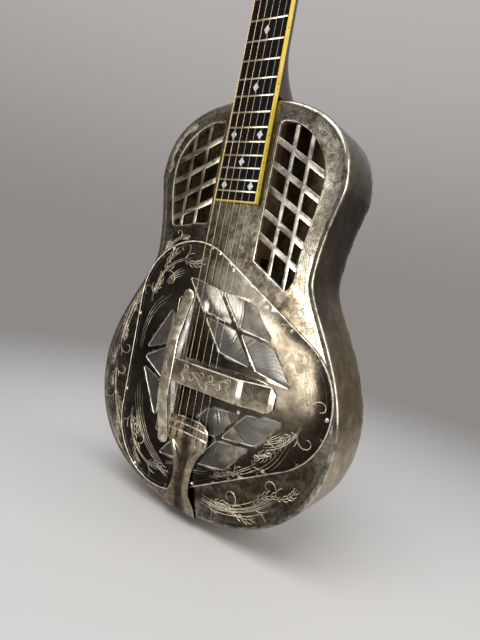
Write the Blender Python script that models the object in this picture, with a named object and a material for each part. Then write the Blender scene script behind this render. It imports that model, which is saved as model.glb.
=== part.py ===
"""Metal body guitar with three resonator cones under a windowed coverplate.

Upright on its tail end: +Z runs along the strings to the headstock, +X is the treble side,
+Y goes from the front to the back. y = 0 is the outer face of the top plate, so what stands
proud of the top has a negative y. z = 0 is the lowest point of the body's rim.
"""

import math

import bmesh
import bpy
from mathutils import Matrix, Vector

MM = 0.001

# Fits
GAP = 0.3 * MM            # clearance between pieces that touch
RUN = 0.25 * MM           # radial play of a shaft in its bore

# Body shell
BODY_LENGTH = 493.5 * MM
BODY_DEPTH = 80.0 * MM
SHEET = 1.0 * MM
SHOULDER = 5.0 * MM       # radius of the rolled edges
LOWER_HALF, LOWER_Z = 175.0 * MM, 144.0 * MM
WAIST_HALF, WAIST_Z = 113.0 * MM, 304.0 * MM
UPPER_HALF, UPPER_Z = 128.0 * MM, 401.5 * MM
TAIL_FULL, LOWER_FULL_DOWN = 0.61, 0.64       # how far each curve keeps its end direction
LOWER_FULL_UP, WAIST_FULL_DOWN = 0.43, 0.17
WAIST_FULL_UP, UPPER_FULL_DOWN = 0.51, 0.11
UPPER_FULL_UP, HEAD_FULL = 0.67, 0.62
OUTLINE_STEPS = 8         # points in each of the four curves of one side

# Coverplate: an equilateral triangle with round corners, one flat side to the bass
AXIS_Z = 169.5 * MM       # height of the line through the treble cone
CONE_REACH = 87.0 * MM    # from the middle of the cover to each cone's axis
CONE_RADIUS = 70.0 * MM
CONE_PLAY = 0.7 * MM      # between a cone's rim and the wall of the well
COVER_LEDGE = 8.0 * MM    # width of the top plate under the cover's edge
COVER_CORNER = CONE_RADIUS + CONE_PLAY + SHEET + GAP + COVER_LEDGE
COVER_ARC_STEPS = 9
COVER_SHEET = 0.8 * MM
COVER_BEAD = 2.6 * MM
COVER_BEAD_WIDTH = 3.0 * MM
COVER_RISE_WIDTH = 11.0 * MM
COVER_HEIGHT = 5.5 * MM
PANE_LIP = 1.6 * MM       # depth of the turned edge round a window pane
PANE_CORNER = 1.6 * MM
BAR = 6.0 * MM            # metal left between panes
SCREEN_THICK = 0.6 * MM
SCREEN_MARGIN = 1.6 * MM  # of the gauze round its window group

# Window groups, measured from the middle of the cover
FIELD_RADIUS = 74.7 * MM  # to the middle of the upper and lower group
FIELD_LONG = 185.0 * MM
FIELD_SHORT = 71.0 * MM
FAN_TIP_X = -94.0 * MM
FAN_CUT_X = -60.0 * MM
FAN_SPREAD = math.radians(30.0)
FAN_OUTER = math.radians(60.0)

# Slot in the cover for the bridge
SLOT_LEFT, SLOT_RIGHT = -54.0 * MM, -27.0 * MM
SLOT_HALF = 84.0 * MM
CROSS_HALF = 15.0 * MM
CROSS_END = 93.0 * MM

# Cones and bridge
CONE_SHEET = 0.6 * MM
CONE_RISE = 12.4 * MM
CONE_RIM = 5.0 * MM
WELL_DEPTH = 22.0 * MM
WELL_SEAT = 6.0 * MM      # ledge under a cone's rim
WELL_WINDOW = CONE_RADIUS - WELL_SEAT
WELL_WINDOW_STEPS = 24
WELL_FLANGE = 5.0 * MM
CONE_BASE = WELL_DEPTH - GAP
BRIDGE_WIDTH = 12.0 * MM
BRIDGE_FOOT = 8.0 * MM    # the bridge's feet reach this far past each cone's axis
BRIDGE_HUMP = 14.0 * MM
BRIDGE_ARCH = 3.0 * MM
BRIDGE_MID_TOP = 3.0 * MM
BRIDGE_END_TALL = 4.0 * MM
STEM_WIDTH = 11.0 * MM
SADDLE_HALF = 29.0 * MM
SADDLE_THICK = 4.0 * MM
SADDLE_HEIGHT = 13.0 * MM
SADDLE_Z = 171.5 * MM

# Handrest
STRAP_X = -40.0 * MM
STRAP_WIDTH = 16.0 * MM
STRAP_TOP = 21.2 * MM
STRAP_FLAT = 35.0 * MM
STRAP_FOOT = 87.0 * MM
STRAP_END = 96.5 * MM
STRAP_EASE = 4.0 * MM     # run of its bends
REST_SHEET = 1.5 * MM
BAR_TOP = 19.9 * MM
BAR_WIDTH = 28.5 * MM
BAR_BEND_X = 70.0 * MM
BAR_EASE = 14.0 * MM      # run of the bend there
BAR_EASE_DROP = 1.6 * MM
BAR_FOOT_EASE = 3.0 * MM
BAR_FOOT_X = 96.5 * MM
BAR_END_X = 103.5 * MM

# Neck stick and strap button
STICK_HALF = 14.0 * MM
STICK_FRONT, STICK_BACK = 32.0 * MM, 50.0 * MM
PIN_Y = (STICK_FRONT + STICK_BACK) / 2
PIN_RADIUS = 3.5 * MM
PIN_LENGTH = 18.0 * MM
BUTTON_RADIUS = 7.0 * MM
BUTTON_LENGTH = 11.0 * MM
PROP_HALF = 10.0 * MM
PROP_LOWER_Z, PROP_UPPER_Z = 120.0 * MM, 330.0 * MM

# Openings for the grilles
GRILLE_MARGIN = 26.5 * MM       # metal between the openings and the body's head end
GRILLE_TOP = BODY_LENGTH - GRILLE_MARGIN
GRILLE_CREST = UPPER_Z + 2.5 * MM       # height at which the openings are widest
GRILLE_INNER = 38.0 * MM        # from the middle to their straight inner edges
GRILLE_CORNER = 6.0 * MM        # radius of their upper inner corner
GRILLE_TURN_X = 76.0 * MM       # the crown's curve aims at this point below the top edge
GRILLE_TURN_DROP = 5.0 * MM
TREBLE_TOP_END = 50.0 * MM      # where the top edge starts to round
TREBLE_WIDE = 103.5 * MM
TREBLE_WIDE_FULL = 0.508        # how far the crown keeps its upright start
TREBLE_OUTER = 92.0 * MM        # outer edge above the toe
TREBLE_EDGE_FULL = (0.5021, 0.73)
TREBLE_FOOT = 312.5 * MM
TREBLE_FOOT_ROUND = 3.0 * MM
TREBLE_TOE_X = 85.0 * MM
TREBLE_TOE_DROP = 27.0 * MM     # from the foot down to the outer lower corner
TREBLE_TOE_ROUND = 5.0 * MM
TREBLE_TOE_TALL = 12.5 * MM
BASS_TOP_END = 52.0 * MM
BASS_WIDE = 104.5 * MM
BASS_WIDE_FULL = 0.5397
BASS_FOOT = 348.0 * MM
BASS_FOOT_ROUND = 4.0 * MM
BASS_FOOT_BEND = 60.0 * MM      # the lower edge droops from here to the toe
BASS_FOOT_DROOP = 2.5 * MM
BASS_TOE_X = 93.5 * MM
BASS_TOE_DROP = 8.0 * MM
BASS_TOE_RUN = 17.5 * MM        # of the lower edge, next to the toe
BASS_TOE_FLAT = 15.5 * MM
BASS_EDGE = ((1, 0.6875), (0.5, 0.375), (0.2273, 0.1875))     # handles and end of the outer edge

# Grilles
STILES = (60.0 * MM, 81.0 * MM)
RAIL_START = 50.0 * MM          # the margins below are measured at this distance from the middle
TREBLE_RAILS = 5
TREBLE_RAIL_ANGLE = math.radians(-29.3)
TREBLE_RAIL_ABOVE = 26.4 * MM   # from the opening's top to the middle of the highest rail
TREBLE_RAIL_BELOW = 22.5 * MM   # from the lowest rail to the opening's foot
BASS_RAILS = 4
BASS_RAIL_ANGLE = math.radians(24.6)
BASS_RAIL_ABOVE = 23.6 * MM
BASS_RAIL_BELOW = 21.9 * MM
LIP_DEPTH = 4.8 * MM
LATTICE_TOP = 0.9 * MM
LATTICE_THICK = 3.4 * MM
STILE_WIDTH = 5.0 * MM
RAIL_WIDTH = 6.5 * MM

# Neck, scale and strings
SCALE = 638.0 * MM
NUT_Z = 811.5 * MM
FRETS = 19
BOARD_PLACES = 20         # the board ends where the next fret would be
BOARD_THICK = 6.5 * MM
BOARD_NUT_HALF = 22.5 * MM
BOARD_JOIN_HALF = 27.75 * MM
JOIN_FRET = 12
BINDING = 1.6 * MM
FRET_HEIGHT = 1.0 * MM
FRET_WIDTH = 2.2 * MM
NUT_THICK = 4.5 * MM
NUT_HEIGHT = 8.1 * MM
STRING_NUT_HALF = 19.5 * MM
STRING_SADDLE_HALF = 25.0 * MM
STRING_GAUGES = (1.42 * MM, 1.12 * MM, 0.86 * MM, 0.66 * MM, 0.46 * MM, 0.38 * MM)

# Tailpiece
TAIL_LENGTH = 117.0 * MM
TAIL_SHEET = 1.2 * MM
TAIL_HEAD_HEIGHT = 10.7 * MM
TAIL_SLOT_BACK = 24.0 * MM      # from the upper end to the string slots
TAIL_SLOT_Z = TAIL_LENGTH - TAIL_SLOT_BACK
TAIL_SLOT_SPACING = 10.4 * MM
TAIL_SLOT_WIDTH = 2.2 * MM

# Neck
NECK_THICK_NUT = 14.0 * MM
NECK_THICK_BODY = 18.0 * MM
HEEL_DEPTH = 68.0 * MM
HEEL_CROWN = 5.0 * MM     # how far the heel's curve would run past its flat end
HEEL_RUN = 62.0 * MM
HEEL_FLAT = 10.0 * MM
HEEL_CAP = 2.0 * MM
NECK_START = BODY_LENGTH + 2 * GAP

# Headstock and tuners
HEAD_ROOT = 7.5 * MM      # how far the headstock runs down into the neck
HEAD_FLARE = 24.0 * MM    # over this height it widens from the nut to its full width
HEAD_CROWN = 12.0 * MM    # height of its rounded upper end
HEAD_ANGLE = math.radians(13.0)
HEAD_LENGTH = 166.0 * MM
HEAD_THICK = 14.0 * MM
VENEER = 1.6 * MM
HEAD_SLOT_WIDTH = 16.0 * MM
HEAD_RIB_WIDTH = 13.0 * MM
HEAD_WALL = 9.5 * MM
HEAD_HALF = HEAD_RIB_WIDTH / 2 + HEAD_SLOT_WIDTH + HEAD_WALL
HEAD_SLOT_PAST = 18.0 * MM      # the slots run this far past the outer posts
POST_INNER = 2.5 * MM     # end of each post inside the middle rib
POST_SPACING = 35.0 * MM
POST_FIRST = 40.0 * MM
ROLLER_RADIUS = 4.6 * MM
SHAFT_RADIUS = 2.8 * MM
PLATE_THICK = 1.2 * MM
GEAR_TEETH = 14
GEAR_PITCH_RADIUS = 5.6 * MM
WORM_PITCH_RADIUS = 2.6 * MM
TOOTH_DEPTH = 0.4 * MM    # above the pitch circle, on gear and worm alike
TOOTH_ROOT = 0.65 * MM    # below it
GEAR_FACE = 2.4 * MM
WORM_TURNS = 3
WORM_SHAFT = 1.4 * MM
THREAD_ROOT_WIDTH, THREAD_TIP_WIDTH = 1.25 * MM, 0.6 * MM
WORM_PLAY = 0.6 * MM      # between the thread's end and each ear
EAR_THICK = 1.6 * MM
EAR_HALF = 2.8 * MM
BUTTON_GAP = 6.0 * MM     # between the headstock's back and the buttons
KNOB_LENGTH = 13.0 * MM
KNOB_HALF = 7.5 * MM
KNOB_FLAT = 0.62          # thickness of a button as a share of its width

# Worked out from the gears
WORM_PITCH = 2 * math.pi * GEAR_PITCH_RADIUS / GEAR_TEETH
WORM_LENGTH = WORM_TURNS * WORM_PITCH
WORM_CREST = WORM_PITCH_RADIUS + TOOTH_DEPTH
WORM_ROOT = WORM_PITCH_RADIUS - TOOTH_ROOT
GEAR_DISTANCE = GEAR_PITCH_RADIUS + WORM_PITCH_RADIUS
GEAR_X = HEAD_HALF + GAP + PLATE_THICK + GAP + WORM_CREST
EAR_INNER = WORM_LENGTH / 2 + WORM_PLAY
EAR_OUTER = EAR_INNER + EAR_THICK


def material(name, colour, roughness, metallic):
    mat = bpy.data.materials.new(name)
    mat.use_nodes = True
    shader = mat.node_tree.nodes["Principled BSDF"]
    shader.inputs["Base Color"].default_value = (*colour, 1.0)
    shader.inputs["Roughness"].default_value = roughness
    shader.inputs["Metallic"].default_value = metallic
    mat.diffuse_color = (*colour, 1.0)
    return mat


def make_materials():
    return {
        "shell": material("aged_nickel_silver", (0.36, 0.32, 0.26), 0.34, 1.0),
        "plate": material("engraved_plate", (0.30, 0.27, 0.22), 0.36, 1.0),
        "bright": material("worn_bright_metal", (0.62, 0.55, 0.45), 0.28, 1.0),
        "cone": material("spun_aluminium", (0.62, 0.63, 0.64), 0.30, 1.0),
        "gauze": material("dark_gauze", (0.10, 0.10, 0.10), 0.55, 0.6),
        "neck": material("dark_neck_wood", (0.045, 0.018, 0.010), 0.35, 0.0),
        "inner": material("plain_wood", (0.45, 0.30, 0.17), 0.70, 0.0),
        "ebony": material("ebony", (0.012, 0.010, 0.010), 0.42, 0.0),
        "ivoroid": material("yellow_binding", (0.80, 0.58, 0.10), 0.38, 0.0),
        "bone": material("bone", (0.72, 0.66, 0.52), 0.45, 0.0),
        "string": material("string_metal", (0.58, 0.47, 0.34), 0.34, 1.0),
        "tuner": material("tuner_nickel", (0.58, 0.55, 0.50), 0.28, 1.0),
        "button": material("tuner_button", (0.80, 0.74, 0.58), 0.35, 0.0),
    }


# Building solids


def add_object(name, bm, mat, smooth_angle=None):
    """Close the mesh's normals and link it as a named object."""
    bmesh.ops.recalc_face_normals(bm, faces=bm.faces)
    mesh = bpy.data.meshes.new(name)
    bm.to_mesh(mesh)
    bm.free()
    mesh.materials.append(mat)
    obj = bpy.data.objects.new(name, mesh)
    bpy.context.scene.collection.objects.link(obj)
    if smooth_angle is not None:
        mesh.shade_smooth()
        mesh.set_sharp_from_angle(angle=math.radians(smooth_angle))
    return obj


def ring(bm, points):
    return [bm.verts.new(p) for p in points]


def bridge(bm, first, second):
    """Join two closed rings of equal length with a band of quads."""
    count = len(first)
    for i in range(count):
        j = (i + 1) % count
        bm.faces.new((first[i], first[j], second[j], second[i]))


def band(bm, rings):
    for first, second in zip(rings, rings[1:]):
        bridge(bm, first, second)


def fill(bm, rings):
    """Fill the flat area between an outer ring and the holes in it."""
    edges = []
    for loop in rings:
        for i, vert in enumerate(loop):
            other = loop[(i + 1) % len(loop)]
            edge = bm.edges.get((vert, other)) or bm.edges.new((vert, other))
            edges.append(edge)
    bmesh.ops.triangle_fill(bm, use_beauty=True, use_dissolve=False, edges=edges)


def at_depth(points, y):
    return [Vector((x, y, z)) for x, z in points]


def offset(points, distance):
    """Move a closed counter-clockwise outline inwards by a distance, corner by corner."""
    moved = []
    count = len(points)
    for i in range(count):
        before = Vector(points[i - 1])
        here = Vector(points[i])
        after = Vector(points[(i + 1) % count])
        into = (here - before).normalized()
        out = (after - here).normalized()
        normal_in = Vector((-into.y, into.x))
        normal_out = Vector((-out.y, out.x))
        middle = (normal_in + normal_out).normalized()
        moved.append(tuple(here + middle * (distance / max(middle.dot(normal_in), 0.3))))
    return moved


def corner_arc(before, here, after, radius, steps=2):
    """Points of the arc that rounds one corner."""
    before, here, after = Vector(before), Vector(here), Vector(after)
    to_before = (before - here).normalized()
    to_after = (after - here).normalized()
    half = to_before.angle(to_after) / 2
    start = here + to_before * (radius / math.tan(half))
    end = here + to_after * (radius / math.tan(half))
    centre = here + (to_before + to_after).normalized() * (radius / math.sin(half))
    first = math.atan2(start.y - centre.y, start.x - centre.x)
    sweep = math.atan2(end.y - centre.y, end.x - centre.x) - first
    sweep = (sweep + math.pi) % (2 * math.pi) - math.pi
    angles = [first + sweep * k / steps for k in range(steps + 1)]
    return [(centre.x + radius * math.cos(a), centre.y + radius * math.sin(a)) for a in angles]


def rounded(corners, radius, steps=2):
    """Round every corner of a polygon."""
    points = []
    for i, here in enumerate(corners):
        points += corner_arc(corners[i - 1], here, corners[(i + 1) % len(corners)], radius, steps)
    return points


def prism(name, points, y0, y1, mat):
    """Extrude a flat outline in the front plane between two depths."""
    bm = bmesh.new()
    front = ring(bm, at_depth(points, y0))
    back = ring(bm, at_depth(points, y1))
    bridge(bm, front, back)
    fill(bm, [front])
    fill(bm, [back])
    return add_object(name, bm, mat)


def box(name, low, high, mat):
    bm = bmesh.new()
    bmesh.ops.create_cube(bm, size=1.0)
    size = Vector(high) - Vector(low)
    middle = (Vector(high) + Vector(low)) / 2
    bmesh.ops.scale(bm, vec=size, verts=bm.verts)
    bmesh.ops.translate(bm, vec=middle, verts=bm.verts)
    return add_object(name, bm, mat)


def turned(name, profile, steps, mat, smooth_angle=30):
    """Turn a profile of (radius, height) points about the local Z axis into a closed solid."""
    bm = bmesh.new()
    rings = []
    for radius, height in profile:
        if radius == 0:
            rings.append([bm.verts.new((0, 0, height))])
        else:
            circle = [2 * math.pi * k / steps for k in range(steps)]
            rings.append(ring(bm, [(radius * math.cos(a), radius * math.sin(a), height) for a in circle]))
    for first, second in zip(rings, rings[1:]):
        if len(first) == 1 and len(second) == 1:
            continue
        if len(first) == 1 or len(second) == 1:
            centre, loop = (first[0], second) if len(first) == 1 else (second[0], first)
            for k in range(steps):
                bm.faces.new((centre, loop[k], loop[(k + 1) % steps]))
        else:
            bridge(bm, first, second)
    if len(rings[0]) > 1:
        bm.faces.new(rings[0])
    if len(rings[-1]) > 1:
        bm.faces.new(rings[-1])
    return add_object(name, bm, mat, smooth_angle)


def apply_boolean(obj, tool, operation):
    """Combine two solids, keep the first and remove the second."""
    modifier = obj.modifiers.new(operation.lower(), "BOOLEAN")
    modifier.object = tool
    modifier.operation = operation
    modifier.solver = "EXACT"
    bpy.context.view_layer.update()
    graph = bpy.context.evaluated_depsgraph_get()
    mesh = bpy.data.meshes.new_from_object(obj.evaluated_get(graph))
    obj.modifiers.clear()
    old = obj.data
    obj.data = mesh
    bpy.data.meshes.remove(old)
    mesh.name = obj.name
    bpy.data.objects.remove(tool)
    while len(mesh.materials) > 1:
        mesh.materials.pop(index=len(mesh.materials) - 1)
    return obj


def cut(obj, tools):
    for tool in tools:
        apply_boolean(obj, tool, "DIFFERENCE")
    return obj


def join(obj, others):
    for other in others:
        apply_boolean(obj, other, "UNION")
    return obj


def smooth(obj, angle=30):
    obj.data.shade_smooth()
    obj.data.set_sharp_from_angle(angle=math.radians(angle))
    return obj


# Body shell


def bezier(p0, p1, p2, p3, steps):
    """Points of a cubic curve, without its last one."""
    points = []
    for k in range(steps):
        t = k / steps
        s = 1 - t
        weights = (s ** 3, 3 * s * s * t, 3 * s * t * t, t ** 3)
        points.append(tuple(sum(w * p[i] for w, p in zip(weights, (p0, p1, p2, p3))) for i in (0, 1)))
    return points


def body_outline():
    """The guitar shape seen from the front, counter-clockwise from its lowest point."""
    below, above = WAIST_Z - LOWER_Z, UPPER_Z - WAIST_Z
    crown = BODY_LENGTH - UPPER_Z
    nodes = [(0, 0), (LOWER_HALF, LOWER_Z), (WAIST_HALF, WAIST_Z), (UPPER_HALF, UPPER_Z), (0, BODY_LENGTH)]
    handles = [
        ((LOWER_HALF * TAIL_FULL, 0), (LOWER_HALF, LOWER_Z * (1 - LOWER_FULL_DOWN))),
        ((LOWER_HALF, LOWER_Z + below * LOWER_FULL_UP), (WAIST_HALF, WAIST_Z - below * WAIST_FULL_DOWN)),
        ((WAIST_HALF, WAIST_Z + above * WAIST_FULL_UP), (UPPER_HALF, UPPER_Z - above * UPPER_FULL_DOWN)),
        ((UPPER_HALF, UPPER_Z + crown * UPPER_FULL_UP), (UPPER_HALF * HEAD_FULL, BODY_LENGTH)),
    ]
    right = []
    for (start, end), (out, into) in zip(zip(nodes, nodes[1:]), handles):
        right += bezier(start, out, into, end, OUTLINE_STEPS)
    right.append(nodes[-1])
    left = [(-x, z) for x, z in reversed(right[1:-1])]
    return right + left


def rim_height(x):
    """Height of the rim's lowest part at a distance from the middle."""
    outline = body_outline()
    for (x0, z0), (x1, z1) in zip(outline, outline[1:]):
        if x0 <= x <= x1:
            return z0 + (z1 - z0) * (x - x0) / (x1 - x0)
    return 0.0


def rolled_tray(bm, outline, depth_of, steps=2):
    """Sheet with a rolled edge. Returns the rings that bound its outer and its inner face."""
    rings = []
    for k in range(steps + 1):
        angle = math.pi / 2 * k / steps
        inset = SHOULDER * (1 - math.cos(angle))
        depth = SHOULDER * (1 - math.sin(angle))
        rings.append(ring(bm, at_depth(offset(outline, inset), depth_of(depth))))
    inner = SHOULDER - SHEET
    for k in range(steps, -1, -1):
        angle = math.pi / 2 * k / steps
        inset = SHOULDER - inner * math.cos(angle)
        depth = SHOULDER - inner * math.sin(angle)
        rings.append(ring(bm, at_depth(offset(outline, inset), depth_of(depth))))
    for i, first in enumerate(rings):
        if i != steps:
            bridge(bm, first, rings[(i + 1) % len(rings)])
    return rings[steps], rings[steps + 1]


def lipped_hole(bm, outline, face, under, lip):
    """Hole whose edge is turned down to a lip. Returns its rings in the outer and inner face."""
    thick = under - face
    outer = ring(bm, at_depth(outline, face))
    end = ring(bm, at_depth(outline, lip))
    back = ring(bm, at_depth(offset(outline, -thick), lip))
    inner = ring(bm, at_depth(offset(outline, -thick), under))
    band(bm, [outer, end, back, inner])
    return outer, inner


def plain_hole(bm, outline, face, under):
    outer = ring(bm, at_depth(outline, face))
    inner = ring(bm, at_depth(outline, under))
    bridge(bm, outer, inner)
    return outer, inner


def part_way(start, end, across_share, up_share):
    """Point between two others, by a share of the way across and one of the way up."""
    return start[0] + (end[0] - start[0]) * across_share, start[1] + (end[1] - start[1]) * up_share


def treble_opening():
    """Tall opening right of the fingerboard: straight inner edge, outer edge along the bout."""
    inner, outer, wide = GRILLE_INNER, TREBLE_OUTER, TREBLE_WIDE
    toe, crest = (TREBLE_TOE_X, TREBLE_FOOT - TREBLE_TOE_DROP), (wide, GRILLE_CREST)
    heel, top_inner, top_end = (inner, TREBLE_FOOT), (inner, GRILLE_TOP), (TREBLE_TOP_END, GRILLE_TOP)
    turn = (GRILLE_TURN_X, GRILLE_TOP - GRILLE_TURN_DROP)
    low_full, high_full = (part_way(toe, crest, 0, full)[1] for full in TREBLE_EDGE_FULL)
    points = corner_arc(top_inner, heel, toe, TREBLE_FOOT_ROUND)
    points += corner_arc(heel, toe, (outer, toe[1] + (outer - toe[0]) * 1.5), TREBLE_TOE_ROUND)
    points += bezier((outer, toe[1] + TREBLE_TOE_TALL), (outer, low_full), (wide, high_full), crest, 5)
    points += bezier(crest, part_way(crest, top_end, 0, TREBLE_WIDE_FULL), turn, top_end, 5)
    return points + corner_arc(top_end, top_inner, heel, GRILLE_CORNER)


def bass_opening():
    """Short opening left of the fingerboard, ending above the waist."""
    toe, crest = (-BASS_TOE_X, BASS_FOOT - BASS_TOE_DROP), (-BASS_WIDE, GRILLE_CREST)
    inner, top_end = -GRILLE_INNER, (-BASS_TOP_END, GRILLE_TOP)
    heel, top_inner = (inner, BASS_FOOT), (inner, GRILLE_TOP)
    turn = (-GRILLE_TURN_X, GRILLE_TOP - GRILLE_TURN_DROP)
    droop = (-BASS_FOOT_BEND, BASS_FOOT - BASS_FOOT_DROOP)
    flat = part_way(toe, heel, BASS_TOE_FLAT / (BASS_TOE_X - GRILLE_INNER), 0.125)
    after = (BASS_TOE_RUN - BASS_TOE_X, part_way(toe, heel, 0, 0.1875)[1])
    points = corner_arc(part_way(toe, crest, 0.318, 0.2656), toe, flat, BASS_FOOT_ROUND)
    points += [after, droop]
    points += corner_arc(droop, heel, top_inner, BASS_FOOT_ROUND)
    points += corner_arc(heel, top_inner, top_end, GRILLE_CORNER)
    points += bezier(top_end, turn, part_way(crest, top_end, 0, BASS_WIDE_FULL), crest, 5)
    edge = [part_way(toe, crest, x_share, z_share) for x_share, z_share in BASS_EDGE]
    return points + bezier(crest, *edge, 5)


def cone_axes():
    """Name and (x, z) of each cone's axis."""
    names = ("cone_treble", "cone_bass_upper", "cone_bass_lower")
    places = []
    for k, name in enumerate(names):
        turn = 2 * math.pi * k / 3
        places.append((name, CONE_REACH * math.cos(turn), AXIS_Z + CONE_REACH * math.sin(turn)))
    return places


def cover_outline(inset):
    """The rounded triangle, with arcs about the cones' axes."""
    radius = COVER_CORNER - inset
    points = []
    for k, (_, x, z) in enumerate(cone_axes()):
        first = math.radians(120 * k - 60)
        for i in range(COVER_ARC_STEPS + 1):
            angle = first + math.radians(120) * i / COVER_ARC_STEPS
            points.append((x + radius * math.cos(angle), z + radius * math.sin(angle)))
    return points


def make_body_top(mats):
    bm = bmesh.new()
    face, under = rolled_tray(bm, body_outline(), lambda depth: depth)
    well_edge = cover_outline(COVER_LEDGE)
    holes = [
        lipped_hole(bm, treble_opening(), 0, SHEET, LIP_DEPTH),
        lipped_hole(bm, bass_opening(), 0, SHEET, LIP_DEPTH),
        plain_hole(bm, well_edge, 0, SHEET),
    ]
    fill(bm, [face] + [outer for outer, _ in holes])
    fill(bm, [under] + [inner for _, inner in holes])
    return add_object("body_top", bm, mats["shell"], 35)


def make_body_back(mats):
    bm = bmesh.new()
    face, under = rolled_tray(bm, body_outline(), lambda depth: BODY_DEPTH - depth)
    fill(bm, [face])
    fill(bm, [under])
    return add_object("body_back", bm, mats["shell"], 35)


def make_body_sides(mats):
    """The ribbon between top and back, open for the neck stick and the strap button."""
    outline = body_outline()
    inner = offset(outline, SHEET)
    front, back = SHOULDER + GAP, BODY_DEPTH - SHOULDER - GAP
    bm = bmesh.new()
    rings = [ring(bm, at_depth(shape, y)) for shape, y in ((outline, front), (outline, back), (inner, back),
                                                           (inner, front))]
    band(bm, rings + rings[:1])
    sides = add_object("body_sides", bm, mats["shell"])
    half, top, bottom = STICK_HALF + GAP, STICK_FRONT - GAP, STICK_BACK + GAP
    stick_hole = box("stick_hole", (-half, top, BODY_LENGTH - 3 * SHEET), (half, bottom, BODY_LENGTH + SHEET),
                     mats["shell"])
    radius = PIN_RADIUS + RUN
    pin_hole = turned("pin_hole", [(radius, -SHEET), (radius, 3 * SHEET)], 16, mats["shell"])
    pin_hole.location = (0, PIN_Y, 0)
    cut(sides, [stick_hole, pin_hole])
    return smooth(sides, 35)


def make_well(mats):
    """Pan that hangs under the top: flange, wall, and a floor with a round window under each cone."""
    wall = COVER_LEDGE + GAP
    flange = wall - WELL_FLANGE
    under_top = SHEET + GAP
    floor = WELL_DEPTH
    bm = bmesh.new()
    section = [
        (flange, under_top), (flange, under_top + SHEET), (wall, under_top + SHEET),
        (wall, floor + SHEET), (wall + SHEET, floor), (wall + SHEET, under_top),
    ]
    rings = [ring(bm, at_depth(cover_outline(inset), y)) for inset, y in section]
    bridge(bm, rings[5], rings[0])
    band(bm, rings[:4])
    bridge(bm, rings[4], rings[5])
    windows = []
    for _, x, z in cone_axes():
        circle = [2 * math.pi * k / WELL_WINDOW_STEPS for k in range(WELL_WINDOW_STEPS)]
        edge = [(x + WELL_WINDOW * math.cos(a), z + WELL_WINDOW * math.sin(a)) for a in circle]
        windows.append(plain_hole(bm, edge, floor, floor + SHEET))
    fill(bm, [rings[4]] + [front for front, _ in windows])
    fill(bm, [rings[3]] + [back for _, back in windows])
    return add_object("resonator_well", bm, mats["shell"], 35)


def make_stick(mats):
    """Wooden neck stick through the body, bored for the strap button, with two props to the back."""
    top = BODY_LENGTH + GAP
    bottom = rim_height(STICK_HALF) + SHEET + GAP
    low, high = (-STICK_HALF, STICK_FRONT, bottom), (STICK_HALF, STICK_BACK, top)
    stick = box("neck_stick", low, high, mats["inner"])
    radius = PIN_RADIUS + RUN
    bore = turned("bore", [(radius, -SHEET), (radius, PIN_LENGTH + GAP)], 16, mats["inner"])
    bore.location = (0, PIN_Y, 0)
    cut(stick, [bore])
    back = BODY_DEPTH - SHEET - GAP
    for name, z in (("prop_lower", PROP_LOWER_Z), ("prop_upper", PROP_UPPER_Z)):
        low = (-PROP_HALF, STICK_BACK + GAP, z - PROP_HALF)
        box(name, low, (PROP_HALF, back, z + PROP_HALF), mats["inner"])


# Cones, bridge and saddle


def loft(name, rings, mat, smooth_angle=None):
    """Closed solid through rings of 3-D points, with flat ends."""
    bm = bmesh.new()
    made = [ring(bm, points) for points in rings]
    band(bm, made)
    fill(bm, [made[0]])
    fill(bm, [made[-1]])
    return add_object(name, bm, mat, smooth_angle)


def across(name, outline, x0, x1, mat):
    """Solid with a side view outline of (z, y) points, drawn out along X."""
    return loft(name, [[(x, y, z) for z, y in outline] for x in (x0, x1)], mat)


def along(name, outline, z0, z1, mat):
    """Solid with an end view outline of (x, y) points, drawn out along Z."""
    return loft(name, [[(x, y, z) for x, y in outline] for z in (z0, z1)], mat)


def make_cones(mats):
    """Three spun cones, apex to the front, their flat rims on the floor of the well."""
    rim = CONE_RADIUS - CONE_RIM
    curve = [(0.0, 1.0), (0.11, 1.0), (0.16, 0.93), (0.45, 0.60), (0.76, 0.30)]
    for name, x, z in cone_axes():
        front = [(rim * r, CONE_RISE * h) for r, h in curve] + [(rim, CONE_SHEET), (CONE_RADIUS, CONE_SHEET)]
        back = [(CONE_RADIUS, 0)] + [(r, h - CONE_SHEET) for r, h in reversed(front[:-1])]
        cone = turned(name, front + back, 22, mats["cone"])
        cone.matrix_world = Matrix.Translation((x, CONE_BASE, z)) @ Matrix.Rotation(math.pi / 2, 4, "X")


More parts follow.
